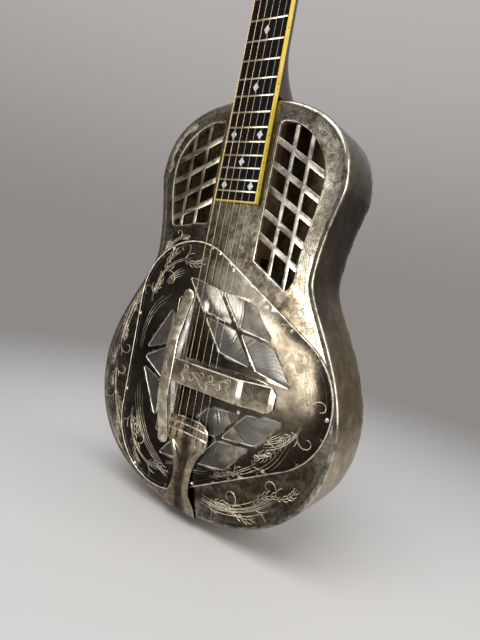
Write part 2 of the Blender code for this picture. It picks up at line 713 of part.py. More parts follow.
def make_bridge(mats):
    """T shaped bridge: an arm over the two bass cones and a stem to the treble cone."""
    foot = CONE_BASE - CONE_RISE - GAP
    seat = -BRIDGE_MID_TOP
    end_top = foot - BRIDGE_END_TALL
    arm_half = CONE_REACH * math.sin(math.radians(60)) + BRIDGE_FOOT
    arm_x = -CONE_REACH / 2
    side = [
        (-arm_half, foot), (-arm_half, end_top), (-BRIDGE_HUMP, seat), (BRIDGE_HUMP, seat),
        (arm_half, end_top), (arm_half, foot), (arm_half - 2 * BRIDGE_FOOT, foot),
        (BRIDGE_HUMP, foot - BRIDGE_ARCH), (-BRIDGE_HUMP, foot - BRIDGE_ARCH),
        (2 * BRIDGE_FOOT - arm_half, foot),
    ]
    side = [(AXIS_Z + z, y) for z, y in side]
    bridge_piece = across("t_bridge", side, arm_x - BRIDGE_WIDTH / 2, arm_x + BRIDGE_WIDTH / 2, mats["cone"])
    end_x = CONE_REACH + BRIDGE_FOOT
    stem_side = [
        (arm_x, seat), (SADDLE_HALF + SADDLE_THICK, seat), (end_x, end_top), (end_x, foot),
        (end_x - 2 * BRIDGE_FOOT, foot), (SADDLE_HALF, foot - BRIDGE_ARCH), (arm_x, foot - BRIDGE_ARCH),
    ]
    half = STEM_WIDTH / 2
    stem = along("stem", stem_side, AXIS_Z - half, AXIS_Z + half, mats["cone"])
    join(bridge_piece, [stem])
    low = (-SADDLE_HALF, -SADDLE_HEIGHT, SADDLE_Z - SADDLE_THICK / 2)
    high = (SADDLE_HALF, seat - GAP, SADDLE_Z + SADDLE_THICK / 2)
    box("saddle", low, high, mats["inner"])


# Coverplate, its screens and the handrest


def from_centre(points):
    return [(x, AXIS_Z + z) for x, z in points]


def mirrored(points):
    """The same outline upside down, still counter-clockwise."""
    return [(x, 2 * AXIS_Z - z) for x, z in reversed(points)]


def field_corners(grow=0.0):
    """The rhombus of the upper window group: left, lower, right and upper corner."""
    long_way = Vector((math.cos(math.radians(-30)), math.sin(math.radians(-30))))
    out = Vector((math.cos(math.radians(60)), math.sin(math.radians(60))))
    middle = out * FIELD_RADIUS
    corners = [middle - long_way * FIELD_LONG / 2, middle - out * FIELD_SHORT / 2,
               middle + long_way * FIELD_LONG / 2, middle + out * FIELD_SHORT / 2]
    return offset([tuple(c) for c in corners], -grow)


def field_panes():
    """Four panes of the upper group, two by two, with a bar between them."""
    left, lower, _, upper = (Vector(c) for c in field_corners())
    down, up = lower - left, upper - left
    width = abs(down.cross(up)) / up.length
    bar = BAR / 2 / width
    spans = ((0, 0.5 - bar), (0.5 + bar, 1))
    panes = []
    for s0, s1 in spans:
        for t0, t1 in spans:
            corners = [left + down * s + up * t for s, t in ((s0, t0), (s1, t0), (s1, t1), (s0, t1))]
            panes.append(rounded(from_centre([tuple(c) for c in corners]), PANE_CORNER, 1))
    return panes


def fan_panes():
    """Three panes left of the handrest, fanned out from the bass side."""
    run = FAN_CUT_X - FAN_TIP_X
    half = run * math.tan(FAN_SPREAD)
    middle = [(FAN_TIP_X, 0), (FAN_CUT_X, -half), (FAN_CUT_X, half)]
    outer = [(FAN_TIP_X, 2 * BAR), (FAN_CUT_X, half + BAR), (FAN_CUT_X, 2 * BAR + run * math.tan(FAN_OUTER))]
    outer = rounded(from_centre(outer), PANE_CORNER, 1)
    return [outer, rounded(from_centre(middle), PANE_CORNER, 1), mirrored(outer)]


def slot_outline():
    """T shaped opening over the bridge."""
    corners = [
        (SLOT_LEFT, -SLOT_HALF), (SLOT_RIGHT, -SLOT_HALF), (SLOT_RIGHT, -CROSS_HALF),
        (CROSS_END, -CROSS_HALF), (CROSS_END, CROSS_HALF), (SLOT_RIGHT, CROSS_HALF),
        (SLOT_RIGHT, SLOT_HALF), (SLOT_LEFT, SLOT_HALF),
    ]
    return from_centre(corners)


def make_coverplate(mats):
    rise = COVER_HEIGHT - COVER_BEAD
    outer = [
        (0, GAP), (0, COVER_BEAD - SHEET), (COVER_BEAD_WIDTH * 0.4, COVER_BEAD - COVER_SHEET * 0.1),
        (COVER_BEAD_WIDTH, COVER_BEAD), (COVER_BEAD_WIDTH * 2, COVER_BEAD + rise * 0.12),
        (COVER_RISE_WIDTH * 0.72, COVER_BEAD + rise * 0.6), (COVER_RISE_WIDTH, COVER_HEIGHT),
    ]
    inner = [(inset + COVER_SHEET * 0.3, high - COVER_SHEET) for inset, high in reversed(outer[3:])]
    inner += [(COVER_SHEET * 1.5, COVER_BEAD - COVER_SHEET * 1.4), (COVER_SHEET, GAP)]
    bm = bmesh.new()
    rings = [ring(bm, at_depth(cover_outline(inset), -high)) for inset, high in outer + inner]
    for i, first in enumerate(rings):
        if i != len(outer) - 1:
            bridge(bm, first, rings[(i + 1) % len(rings)])
    face, under = -COVER_HEIGHT, COVER_SHEET - COVER_HEIGHT
    upper = field_panes()
    panes = upper + [mirrored(pane) for pane in upper] + fan_panes()
    holes = [lipped_hole(bm, pane, face, under, face + PANE_LIP) for pane in panes]
    holes.append(plain_hole(bm, slot_outline(), face, under))
    fill(bm, [rings[len(outer) - 1]] + [front for front, _ in holes])
    fill(bm, [rings[len(outer)]] + [back for _, back in holes])
    return add_object("coverplate", bm, mats["plate"], 35)


def make_screens(mats):
    """Fine gauze behind each window group, against the panes' turned edges."""
    front = PANE_LIP - COVER_HEIGHT + GAP
    back = front + SCREEN_THICK
    field = from_centre(field_corners(SCREEN_MARGIN))
    prism("cover_screen_upper", field, front, back, mats["gauze"])
    prism("cover_screen_lower", mirrored(field), front, back, mats["gauze"])
    run = FAN_CUT_X - FAN_TIP_X
    tall = 2 * BAR + run * math.tan(FAN_OUTER)
    left, right = FAN_TIP_X - SCREEN_MARGIN, FAN_CUT_X + SCREEN_MARGIN
    fan = [(left, -2 * BAR), (right, -tall - SCREEN_MARGIN), (right, tall + SCREEN_MARGIN), (left, 2 * BAR)]
    prism("cover_screen_left", from_centre(fan), front, back, mats["gauze"])


def bent_strip(points, thick):
    """Side outline of a strip: its top line of (distance, height) and the same line a thickness lower."""
    top = [(d, -h) for d, h in points]
    return top + [(d, thick - h) for d, h in reversed(points)]


def make_handrest(mats):
    """Strap over the bridge's arm and a bar over the saddle, one pressed and soldered piece."""
    foot = COVER_HEIGHT + GAP + REST_SHEET
    half = [
        (STRAP_END, foot), (STRAP_FOOT, foot), (STRAP_FOOT - STRAP_EASE, foot + STRAP_EASE * 0.3),
        (STRAP_FLAT + STRAP_EASE * 1.25, STRAP_TOP - STRAP_EASE * 0.25),
        (STRAP_FLAT - STRAP_EASE * 0.75, STRAP_TOP),
    ]
    line = [(AXIS_Z - d, h) for d, h in half] + [(AXIS_Z + d, h) for d, h in reversed(half)]
    left, right = STRAP_X - STRAP_WIDTH / 2, STRAP_X + STRAP_WIDTH / 2
    strap = across("handrest", bent_strip(line, REST_SHEET), left, right, mats["bright"])
    bar_line = [
        (STRAP_X, BAR_TOP), (BAR_BEND_X - BAR_EASE, BAR_TOP),
        (BAR_BEND_X - BAR_EASE * 3 / 7, BAR_TOP - BAR_EASE_DROP * 5 / 16),
        (BAR_BEND_X, BAR_TOP - BAR_EASE_DROP), (BAR_FOOT_X - BAR_FOOT_EASE, foot + BAR_EASE_DROP),
        (BAR_FOOT_X, foot), (BAR_END_X, foot),
    ]
    low, high = AXIS_Z - BAR_WIDTH / 2, AXIS_Z + BAR_WIDTH / 2
    crossbar = along("crossbar", bent_strip(bar_line, REST_SHEET), low, high, mats["bright"])
    join(strap, [crossbar])
    inner = STRAP_END - STRAP_WIDTH
    plan = corner_arc((left, 0), (left, -STRAP_END), (right, -STRAP_END), STRAP_WIDTH / 2.2, 5)
    plan += corner_arc((left, -STRAP_END), (right, -STRAP_END), (right, -inner), STRAP_WIDTH / 2.2, 5)
    plan += [(right, -BAR_WIDTH / 2)]
    plan += corner_arc((right, -BAR_WIDTH / 2), (BAR_END_X, -BAR_WIDTH / 2), (BAR_END_X, 0), BAR_WIDTH / 4, 4)
    plan = from_centre(plan)
    plan = plan + mirrored(plan)
    shape = prism("plan", offset(plan, GAP / 30), -STRAP_TOP - SHEET, GAP, mats["bright"])
    apply_boolean(strap, shape, "INTERSECT")
    return smooth(strap, 30)


# Grilles


def make_grille(name, opening, side, rails, mats):
    """Lattice of upright stiles and slanted rails that fills an opening in the top plate."""
    count, angle, above, below, foot = rails
    top = GRILLE_TOP - above
    pitch = (top - below - foot) / (count - 1)
    front, back = LATTICE_TOP, LATTICE_TOP + LATTICE_THICK
    half = RAIL_WIDTH / 2 / math.cos(angle)
    slope = math.tan(angle)
    near, far = side * (GRILLE_INNER - SHEET), side * UPPER_HALF
    strips = []
    for k in range(count):
        middle = top - pitch * k - slope * side * RAIL_START
        ends = [(x, middle + slope * x) for x in sorted((near, far))]
        (x0, z0), (x1, z1) = ends
        outline = [(x0, z0 - half), (x1, z1 - half), (x1, z1 + half), (x0, z0 + half)]
        strips.append(prism(name, outline, front, back, mats["bright"]))
    for stile in STILES:
        x = side * stile
        low, high = x - STILE_WIDTH / 2, x + STILE_WIDTH / 2
        outline = [(low, 0), (high, 0), (high, BODY_LENGTH), (low, BODY_LENGTH)]
        strips.append(prism(name, outline, front, back, mats["bright"]))
    lattice = join(strips[-1], strips[:-1])
    window = prism("window", offset(opening, GAP), front - SHEET, back + SHEET, mats["bright"])
    apply_boolean(lattice, window, "INTERSECT")
    lattice.name = name
    lattice.data.name = name
    return lattice


# Tailpiece, strap button and strings


def tail_stations():
    """Side path of the tailpiece's underside as (z, y), with half width, crown and inner ridge at each."""
    side, low = -GAP, COVER_HEIGHT + 2 * GAP
    high = TAIL_HEAD_HEIGHT - TAIL_SHEET
    mm = TAIL_LENGTH / 117      # the stations are drawn for a tailpiece of that length
    return [
        ((side, PIN_Y + 9 * mm), 9 * mm, 0, 0.5), ((side, PIN_Y + 4 * mm), 16 * mm, 0, 0.5),
        ((side, PIN_Y - 6 * mm), 22 * mm, 0, 0.5), ((side, SHOULDER + 4 * mm), 25 * mm, 0, 0.5),
        ((side + 0.1 * mm, SHOULDER), 25.5 * mm, 0.1 * mm, 0.5),
        ((1.2 * mm, 1.0 * mm), 25.5 * mm, 0.3 * mm, 0.5),
        ((4.5 * mm, -0.4 * mm), 25.5 * mm, 0.6 * mm, 0.52), ((12 * mm, -1.6 * mm), 22.5 * mm, 1.4 * mm, 0.55),
        ((19 * mm, -4.2 * mm), 19 * mm, 2.0 * mm, 0.58), ((27 * mm, -low), 15.6 * mm, 2.4 * mm, 0.52),
        ((36 * mm, -low), 13.5 * mm, 2.6 * mm, 0.3), ((45 * mm, -low), 13.3 * mm, 2.6 * mm, 0.22),
        ((54 * mm, -low - 0.3 * mm), 14.2 * mm, 2.6 * mm, 0.3),
        ((65 * mm, -low - 0.9 * mm), 17 * mm, 2.6 * mm, 0.42),
        ((75 * mm, -low - 1.8 * mm), 21 * mm, 2.4 * mm, 0.55),
        ((83 * mm, -high + 0.8 * mm), 26 * mm, 1.2 * mm, 0.66),
        ((88 * mm, -high), 30 * mm, 0.2 * mm, 0.7), ((100 * mm, -high), 30.5 * mm, 0, 0.7),
        ((108 * mm, -high), 29.5 * mm, 0, 0.7), ((113.5 * mm, -high + 0.2 * mm), 25 * mm, 0, 0.7),
        ((117 * mm, -high + 0.9 * mm), 16 * mm, 0, 0.7),
    ]


def make_tailpiece(mats):
    """Pressed sheet from the strap button over the rim to the strings: two crowned arms and a head."""
    stations = tail_stations()
    path = [Vector(place) for place, _, _, _ in stations]
    lower, upper = [], []
    for i, (_, half, crown, ridge) in enumerate(stations):
        ahead = path[min(i + 1, len(path) - 1)] - path[max(i - 1, 0)]
        ahead.normalize()
        out = Vector((ahead.y, -ahead.x))
        columns = [
            (-half, -crown * 0.3), (-half + 1.5 * MM, crown * 0.75), (-half * (0.5 + ridge / 2), crown),
            (-half * ridge, crown * 0.8), (-half * ridge + 1.6 * MM, 0), (0, 0),
        ]
        columns += [(-x, rise) for x, rise in reversed(columns[:-1])]
        for layer, thick in ((lower, 0), (upper, TAIL_SHEET)):
            row = []
            for x, rise in columns:
                z, y = path[i] + out * (max(rise, 0) + thick)
                row.append((x, y, z))
            layer.append(row)
    bm = bmesh.new()
    grids = [[ring(bm, row) for row in layer] for layer in (lower, upper)]
    for grid in grids:
        for first, second in zip(grid, grid[1:]):
            for k in range(len(first) - 1):
                bm.faces.new((first[k], first[k + 1], second[k + 1], second[k]))
    left, right = ([[row[k] for row in grid] for grid in grids] for k in (0, -1))
    start, end = ([grid[k] for grid in grids] for k in (0, -1))
    for below, above in (start, end, left, right):
        for k in range(len(below) - 1):
            bm.faces.new((below[k], below[k + 1], above[k + 1], above[k]))
    tail = add_object("tailpiece", bm, mats["bright"])
    tools = []
    for k in range(len(STRING_GAUGES)):
        x = string_places(k)[0]
        half = TAIL_SLOT_WIDTH / 2
        low = (x - half, -TAIL_HEAD_HEIGHT - SHEET, TAIL_SLOT_Z - 4 * MM)
        tools.append(box("slot", low, (x + half, 0, TAIL_SLOT_Z + 4 * MM), mats["bright"]))
    radius = PIN_RADIUS + RUN
    pin_hole = turned("pin_hole", [(radius, -3 * SHEET), (radius, SHEET)], 16, mats["bright"])
    pin_hole.location = (0, PIN_Y, 0)
    cut(tail, tools + [pin_hole])
    return smooth(tail, 40)


def make_button(mats):
    """Strap button: its shank holds the tailpiece to the body and sits in the neck stick."""
    seat = -(2 * GAP + TAIL_SHEET)
    profile = [
        (0, PIN_LENGTH), (PIN_RADIUS, PIN_LENGTH), (PIN_RADIUS, seat), (BUTTON_RADIUS, seat),
        (BUTTON_RADIUS, seat - 1.5 * MM), (PIN_RADIUS + 0.5 * MM, seat - 4 * MM),
        (PIN_RADIUS + 0.5 * MM, seat - BUTTON_LENGTH + 4 * MM),
        (BUTTON_RADIUS, seat - BUTTON_LENGTH + 1.5 * MM),
        (BUTTON_RADIUS - 1 * MM, seat - BUTTON_LENGTH), (0, seat - BUTTON_LENGTH),
    ]
    button = turned("strap_button", profile, 12, mats["tuner"])
    button.location = (0, PIN_Y, 0)
    return button


def string_places(k):
    """Distance from the middle of string k at the tailpiece, the saddle and the nut."""
    share = (k - 2.5) / 2.5
    return TAIL_SLOT_SPACING * 2.5 * share, STRING_SADDLE_HALF * share, STRING_NUT_HALF * share


def head_matrix():
    """From the headstock's own frame, face at y = 0 and foot at z = 0, to the guitar's."""
    return Matrix.Translation((0, 0, NUT_Z + NUT_THICK)) @ Matrix.Rotation(-HEAD_ANGLE, 4, "X")


def post_order(k):
    """Which post string k goes to: its side, and its place counted from the nut."""
    side = -1 if k < 3 else 1
    return side, (k if k < 3 else 5 - k)


def post_middle():
    """Depth of the posts' axes behind the headstock's face."""
    return VENEER + GAP + HEAD_THICK / 2


def make_strings(mats):
    """Six taut wires from the tailpiece's slots over saddle and nut to the posts."""
    head = head_matrix()
    for k, gauge in enumerate(STRING_GAUGES):
        r = gauge / 2
        tail_x, saddle_x, nut_x = string_places(k)
        side, place = post_order(k)
        lift = GAP + r
        slot_x = side * (HEAD_RIB_WIDTH / 2 + HEAD_SLOT_WIDTH / 2 + (1 - place) * 3.0 * MM)
        post_z = POST_FIRST + POST_SPACING * place
        post = head @ Vector((slot_x, post_middle() - ROLLER_RADIUS - lift, post_z))
        points = [
            Vector((tail_x, -TAIL_HEAD_HEIGHT - lift, TAIL_SLOT_Z + 5 * MM)),
            Vector((saddle_x, -SADDLE_HEIGHT - lift, SADDLE_Z)),
            Vector((nut_x, -NUT_HEIGHT - lift, NUT_Z)),
            Vector((nut_x, -NUT_HEIGHT - lift, NUT_Z + NUT_THICK)),
            post,
        ]
        curve = bpy.data.curves.new(f"string_{k + 1}", "CURVE")
        curve.dimensions = "3D"
        curve.bevel_depth = r
        curve.bevel_resolution = 1
        curve.use_fill_caps = True
        spline = curve.splines.new("POLY")
        spline.points.add(len(points) - 1)
        for point, place_at in zip(spline.points, points):
            point.co = (*place_at, 1.0)
        curve.materials.append(mats["string"])
        obj = bpy.data.objects.new(f"string_{k + 1}", curve)
        bpy.context.scene.collection.objects.link(obj)


# Neck


def fret_z(n):
    return NUT_Z - SCALE * (1 - 2 ** (-n / 12))


def board_half(z):
    """Half the width of the neck and the bound fingerboard."""
    share = (NUT_Z - z) / (NUT_Z - fret_z(JOIN_FRET))
    return BOARD_NUT_HALF + (BOARD_JOIN_HALF - BOARD_NUT_HALF) * share


def heel_depth(z):
    """Depth of the neck behind its flat face, growing into the heel at the body."""
    run = (z - NECK_START - HEEL_FLAT) / (HEEL_RUN - HEEL_FLAT)
    shaft = NECK_THICK_NUT + (NECK_THICK_BODY - NECK_THICK_NUT) * (NUT_Z - z) / (NUT_Z - BODY_LENGTH)
    fade = 1 - min(max(run, 0.0), 1.0)
    return shaft + (HEEL_DEPTH + HEEL_CROWN - shaft) * fade ** 2.6


def neck_section(z, steps=10):
    """Flat in front and round behind; deeper sections are more pointed."""
    depth = heel_depth(z)
    half = board_half(z)
    slim = min(1.0, (depth - NECK_THICK_NUT) / (HEEL_DEPTH - NECK_THICK_NUT))
    points = []
    for k in range(steps + 1):
        angle = math.pi * k / steps
        share = abs(math.cos(angle)) ** (0.9 + 0.3 * slim)
        x = math.copysign(half * share, math.cos(angle))
        points.append((x, depth * math.sin(angle) ** (0.85 + 0.1 * slim), z))
    points[0], points[-1] = (half, 0, z), (-half, 0, z)
    return points


def make_neck(mats):
    curve_run = HEEL_RUN - HEEL_FLAT
    heel_end = NECK_START + HEEL_RUN
    levels = [NECK_START]
    levels += [NECK_START + HEEL_FLAT + curve_run * (k / 7) ** 1.3 for k in range(8)]
    levels += [heel_end + (NUT_Z - heel_end) * k / 2 for k in (1, 2)]
    levels.append(NUT_Z + NUT_THICK)
    neck = loft("neck", [neck_section(z) for z in levels], mats["neck"])
    low = (-BOARD_JOIN_HALF, HEEL_DEPTH - HEEL_CAP - GAP, NECK_START - MM)
    heel_tip = box("heel_tip", low, (BOARD_JOIN_HALF, HEEL_DEPTH * 2, heel_end), mats["neck"])
    cut(neck, [heel_tip])
    head = prism("head", head_outline(-HEAD_ROOT), VENEER + GAP, VENEER + GAP + HEAD_THICK, mats["neck"])
    head.data.transform(head_matrix())
    join(neck, [head])
    tools = []
    for side in (-1, 1):
        slot = prism("slot", head_slot(side), -HEAD_THICK, HEAD_THICK * 3, mats["neck"])
        slot.data.transform(head_matrix())
        tools.append(slot)
        for place in range(3):
            radius = ROLLER_RADIUS + RUN
            inner, outer = POST_INNER - GAP, HEAD_HALF + SHEET
            bore = turned("bore", [(radius, inner), (radius, outer)], 16, mats["neck"])
            bore.data.transform(post_matrix(side, place))
            tools.append(bore)
    cut(neck, tools)
    return smooth(neck, 35)


def make_heel_cap(mats):
    """Flat cap on the end of the heel, following its outline."""
    depth = HEEL_DEPTH - HEEL_CAP - GAP
    right = []
    for run in (0, HEEL_FLAT, HEEL_FLAT + 1 * MM, HEEL_FLAT + 2 * MM):
        section = neck_section(NECK_START + run, 60)
        inside = [abs(x) for x, y, _ in section if y >= depth]
        right.append((max(inside), NECK_START + run))
    outline = right + [(-x, z) for x, z in reversed(right)]
    return prism("heel_cap", outline, depth + GAP, HEEL_DEPTH, mats["ivoroid"])


def head_outline(start):
    """Headstock seen from the front in its own frame."""
    foot, half, top = BOARD_NUT_HALF, HEAD_HALF, HEAD_LENGTH
    flare, crown = HEAD_FLARE, HEAD_CROWN
    right = [(foot - flare / 24, start), (foot - flare / 60, flare / 16), (foot + flare / 48, flare / 4)]
    low, high = (foot + flare / 24, flare * 3 / 8), (half, flare)
    right += bezier(low, (foot + flare / 6, flare * 17 / 24), (half, flare * 2 / 3), high, 4)
    right += [high, (half, top - crown)]
    low, high = (half, top - crown * 5 / 6), (0, top)
    right += bezier(low, (half, top), (half / 2, top - crown / 4), high, 6)
    return right + [(0, top)] + [(-x, z) for x, z in reversed(right)]


def head_slot(side):
    low, high = HEAD_RIB_WIDTH / 2, HEAD_RIB_WIDTH / 2 + HEAD_SLOT_WIDTH
    x0, x1 = sorted((side * low, side * high))
    z0, z1 = POST_FIRST - HEAD_SLOT_PAST, POST_FIRST + 2 * POST_SPACING + HEAD_SLOT_PAST
    return rounded([(x0, z0), (x1, z0), (x1, z1), (x0, z1)], HEAD_SLOT_WIDTH / 2.1, 5)


def make_board(mats):
    """Fingerboard with its frets, tapered, inside the binding."""
    end = fret_z(BOARD_PLACES) + BINDING + GAP
    line = [(end, BOARD_THICK)]
    for n in range(FRETS, 0, -1):
        z = fret_z(n)
        line += [(z - FRET_WIDTH / 2, BOARD_THICK), (z - FRET_WIDTH / 5, BOARD_THICK + FRET_HEIGHT),
                 (z + FRET_WIDTH / 5, BOARD_THICK + FRET_HEIGHT), (z + FRET_WIDTH / 2, BOARD_THICK)]
    line += [(NUT_Z, BOARD_THICK), (NUT_Z, 0), (end, 0)]
    edge = BINDING + GAP
    rings = [[(side * (board_half(z) - edge), -GAP - h, z) for z, h in line] for side in (-1, 1)]
    board = loft("fingerboard", rings, mats["ebony"])
    end = fret_z(BOARD_PLACES)
    outer = [(-board_half(end), end), (board_half(end), end), (BOARD_NUT_HALF, NUT_Z)]
    inner = [(BOARD_NUT_HALF - BINDING, NUT_Z), (board_half(end) - BINDING, end + BINDING)]
    outline = outer + inner
    outline += [(-x, z) for x, z in reversed(inner)] + [(-BOARD_NUT_HALF, NUT_Z)]
    prism("fingerboard_binding", outline, -GAP - BOARD_THICK, -GAP, mats["ivoroid"])
    low = (-BOARD_NUT_HALF, -NUT_HEIGHT, NUT_Z + GAP)
    box("nut", low, (BOARD_NUT_HALF, -GAP, NUT_Z + NUT_THICK - GAP), mats["bone"])
    return board


def make_veneer(mats):
    """Dark face of the headstock, open over the slots."""
    bm = bmesh.new()
    outline = head_outline(VENEER * math.tan(HEAD_ANGLE) + GAP)
    front = ring(bm, at_depth(outline, 0))
    back = ring(bm, at_depth(outline, VENEER))
    bridge(bm, front, back)
    slots = [plain_hole(bm, head_slot(side), 0, VENEER) for side in (-1, 1)]
    fill(bm, [front] + [near for near, _ in slots])
    fill(bm, [back] + [far for _, far in slots])
    veneer = add_object("headstock_veneer", bm, mats["ebony"])
    veneer.data.transform(head_matrix())
    return veneer


# Tuners


def post_matrix(side, place):
    """Frame of a post: its axis is local Z, pointing outwards from the middle of the headstock."""
    spot = Matrix.Translation((0, post_middle(), POST_FIRST + POST_SPACING * place))
    return head_matrix() @ spot @ Matrix.Rotation(side * math.pi / 2, 4, "Y")


def worm_matrix(side, place):
    """Frame of a worm shaft: its axis is local Z, pointing backwards out of the headstock."""
    spot = (side * GEAR_X, post_middle(), POST_FIRST + POST_SPACING * place - GEAR_DISTANCE)
    return head_matrix() @ Matrix.Translation(spot) @ Matrix.Rotation(-math.pi / 2, 4, "X")


def gear_outline():
    """Teeth as trapezoids, the first one centred on local +X."""
    root, tip = GEAR_PITCH_RADIUS - TOOTH_ROOT, GEAR_PITCH_RADIUS + TOOTH_DEPTH
    points = []
    for tooth in range(GEAR_TEETH):
        middle = 2 * math.pi * tooth / GEAR_TEETH
        for radius, width in ((root, -THREAD_ROOT_WIDTH), (tip, -THREAD_TIP_WIDTH), (tip, THREAD_TIP_WIDTH),
                              (root, THREAD_ROOT_WIDTH)):
            angle = middle + width / 2 / radius
            points.append((radius * math.cos(angle), radius * math.sin(angle)))
    return points


def worm_thread(name, mat, steps=8):
    """One unbroken helical ridge on a core, ending in flat faces."""
    half = WORM_LENGTH / 2
    ridge = [(-THREAD_ROOT_WIDTH / 2, WORM_ROOT), (-THREAD_TIP_WIDTH / 2, WORM_CREST),
             (THREAD_TIP_WIDTH / 2, WORM_CREST), (THREAD_ROOT_WIDTH / 2, WORM_ROOT)]
    size = len(ridge)
    rows = size * (WORM_TURNS + 4)
    bm = bmesh.new()
    ends = {-1: [], 1: []}
    grid = []
    for i in range(steps):
        turn = i / steps
        spot = Vector((math.cos(2 * math.pi * turn), math.sin(2 * math.pi * turn), 0))
        for end, verts in ends.items():
            verts.append(bm.verts.new(spot * WORM_ROOT + Vector((0, 0, end * half))))
        column = []
        for j in range(rows):
            along_axis, radius = ridge[j % size]
            z = WORM_PITCH * (turn - 0.25 + j // size - WORM_TURNS // 2 - 2) + along_axis
            if abs(z) >= half:
                column.append(ends[1 if z > 0 else -1][i])
            else:
                column.append(bm.verts.new(spot * radius + Vector((0, 0, z))))
        grid.append(column)
    for i in range(steps):
        ahead, shift = (grid[i + 1], 0) if i + 1 < steps else (grid[0], size)
        for j in range(rows - 1 - shift):
            corners = [grid[i][j], ahead[j + shift], ahead[j + 1 + shift], grid[i][j + 1]]
            unique = list(dict.fromkeys(corners))
            if len(unique) > 2:
                bm.faces.new(unique)
    for verts in ends.values():
        bm.faces.new(verts)
    return add_object(name, bm, mat)


def make_post_mesh(mats):
    """Roller, shaft and gear in one piece."""
    inner, outer = GEAR_X - GEAR_FACE / 2, GEAR_X + GEAR_FACE / 2
    profile = [(0, POST_INNER), (ROLLER_RADIUS, POST_INNER), (ROLLER_RADIUS, HEAD_HALF),
               (SHAFT_RADIUS, HEAD_HALF),
               (SHAFT_RADIUS, outer + 1.4 * MM), (0, outer + 1.4 * MM)]
    post = turned("post", profile, 10, mats["tuner"])
    rings = [[(x, y, z) for x, y in gear_outline()] for z in (inner, outer)]
    gear = loft("gear", rings, mats["tuner"])
    join(post, [gear])
    return smooth(post, 30)


def make_knob_mesh(mats):
    """Worm, shaft and flattened button in one piece."""
    front = -EAR_OUTER
    start = HEAD_THICK / 2 + BUTTON_GAP
    shaft = [(0, front), (WORM_SHAFT, front), (WORM_SHAFT, start + 1 * MM), (0, start + 1 * MM)]
    knob = turned("knob", shaft, 8, mats["button"])
    half, long_way = KNOB_HALF, KNOB_LENGTH
    button = turned("button", [
        (0, start), (half * 0.36, start), (half * 0.36, start + long_way * 0.14),
        (half * 0.9, start + long_way * 0.36), (half, start + long_way * 0.62),
        (half * 0.7, start + long_way * 0.93),
        (0, start + long_way),
    ], 10, mats["button"])
    button.data.transform(Matrix.Diagonal((1, KNOB_FLAT, 1, 1)))
    join(knob, [worm_thread("thread", mats["button"]), button])
    return smooth(knob, 32)


def make_tuner_plate(name, side, mats):
    """Plate on the headstock's edge, with two bearing ears for each worm shaft."""
    x0, x1 = HEAD_HALF + GAP, HEAD_HALF + GAP + PLATE_THICK
    middle = post_middle()
    last = POST_FIRST + 2 * POST_SPACING

    def block(y0, y1, z0, z1, x_in, x_out):
        low_x, high_x = sorted((side * x_in, side * x_out))
        return box(name, (low_x, middle + y0, z0), (high_x, middle + y1, z1), mats["tuner"])

    margin = GEAR_DISTANCE + EAR_HALF + 4 * MM
    half = EAR_OUTER + 0.4 * MM
    plate = block(-half, half, POST_FIRST - margin, last + margin - EAR_HALF, x0, x1)
    ears, bores = [], []
    for place in range(3):
        post_z = POST_FIRST + POST_SPACING * place
        z = post_z - GEAR_DISTANCE
        for y0, y1 in ((-EAR_OUTER, -EAR_INNER), (EAR_INNER, EAR_OUTER)):
            ears.append(block(y0, y1, z - EAR_HALF, z + EAR_HALF, x1 - PLATE_THICK / 2, GEAR_X + EAR_HALF))
        radius = WORM_SHAFT + RUN
        bore = turned("bore", [(radius, -EAR_OUTER - SHEET), (radius, EAR_OUTER + SHEET)], 8, mats["tuner"])
        bore.data.transform(head_matrix().inverted() @ worm_matrix(side, place))
        bores.append(bore)
        radius = SHAFT_RADIUS + RUN
        bore = turned("bore", [(radius, x0 - SHEET), (radius, x1 + SHEET)], 10, mats["tuner"])
        bore.data.transform(head_matrix().inverted() @ post_matrix(side, place))
        bores.append(bore)
    join(plate, ears)
    cut(plate, bores)
    plate.data.transform(head_matrix())
    return plate


def make_tuners(mats):
    post_source, knob_source = make_post_mesh(mats), make_knob_mesh(mats)
    for side, label in ((-1, "bass"), (1, "treble")):
        make_tuner_plate(f"tuner_plate_{label}", side, mats)
        for place in range(3):
            kinds = ((post_source, "post", post_matrix), (knob_source, "knob", worm_matrix))
            for source, kind, frame in kinds:
                piece = bpy.data.objects.new(f"{kind}_{label}_{place + 1}", source.data)
                piece.matrix_world = frame(side, place)
                bpy.context.scene.collection.objects.link(piece)
    bpy.data.objects.remove(post_source)
    bpy.data.objects.remove(knob_source)


def main():
    for obj in list(bpy.data.objects):
        bpy.data.objects.remove(obj)
    mats = make_materials()
    make_body_top(mats)
    make_body_back(mats)
    make_body_sides(mats)
    make_well(mats)
    make_stick(mats)
    make_cones(mats)
    make_bridge(mats)
    make_coverplate(mats)
    make_screens(mats)
    make_handrest(mats)
    treble = (TREBLE_RAILS, TREBLE_RAIL_ANGLE, TREBLE_RAIL_ABOVE, TREBLE_RAIL_BELOW, TREBLE_FOOT)
    bass = (BASS_RAILS, BASS_RAIL_ANGLE, BASS_RAIL_ABOVE, BASS_RAIL_BELOW, BASS_FOOT)
    make_grille("grille_treble", treble_opening(), 1, treble, mats)
    make_grille("grille_bass", bass_opening(), -1, bass, mats)
    make_tailpiece(mats)
    make_button(mats)
    make_strings(mats)
    make_neck(mats)
    make_heel_cap(mats)
    make_board(mats)
    make_veneer(mats)
    make_tuners(mats)


main()
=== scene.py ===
"""The tricone guitar's looks: engraved nickel silver, gauze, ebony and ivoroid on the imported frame."""

import math
import random

import bmesh
import bpy
import numpy as np
from mathutils import Matrix, Vector


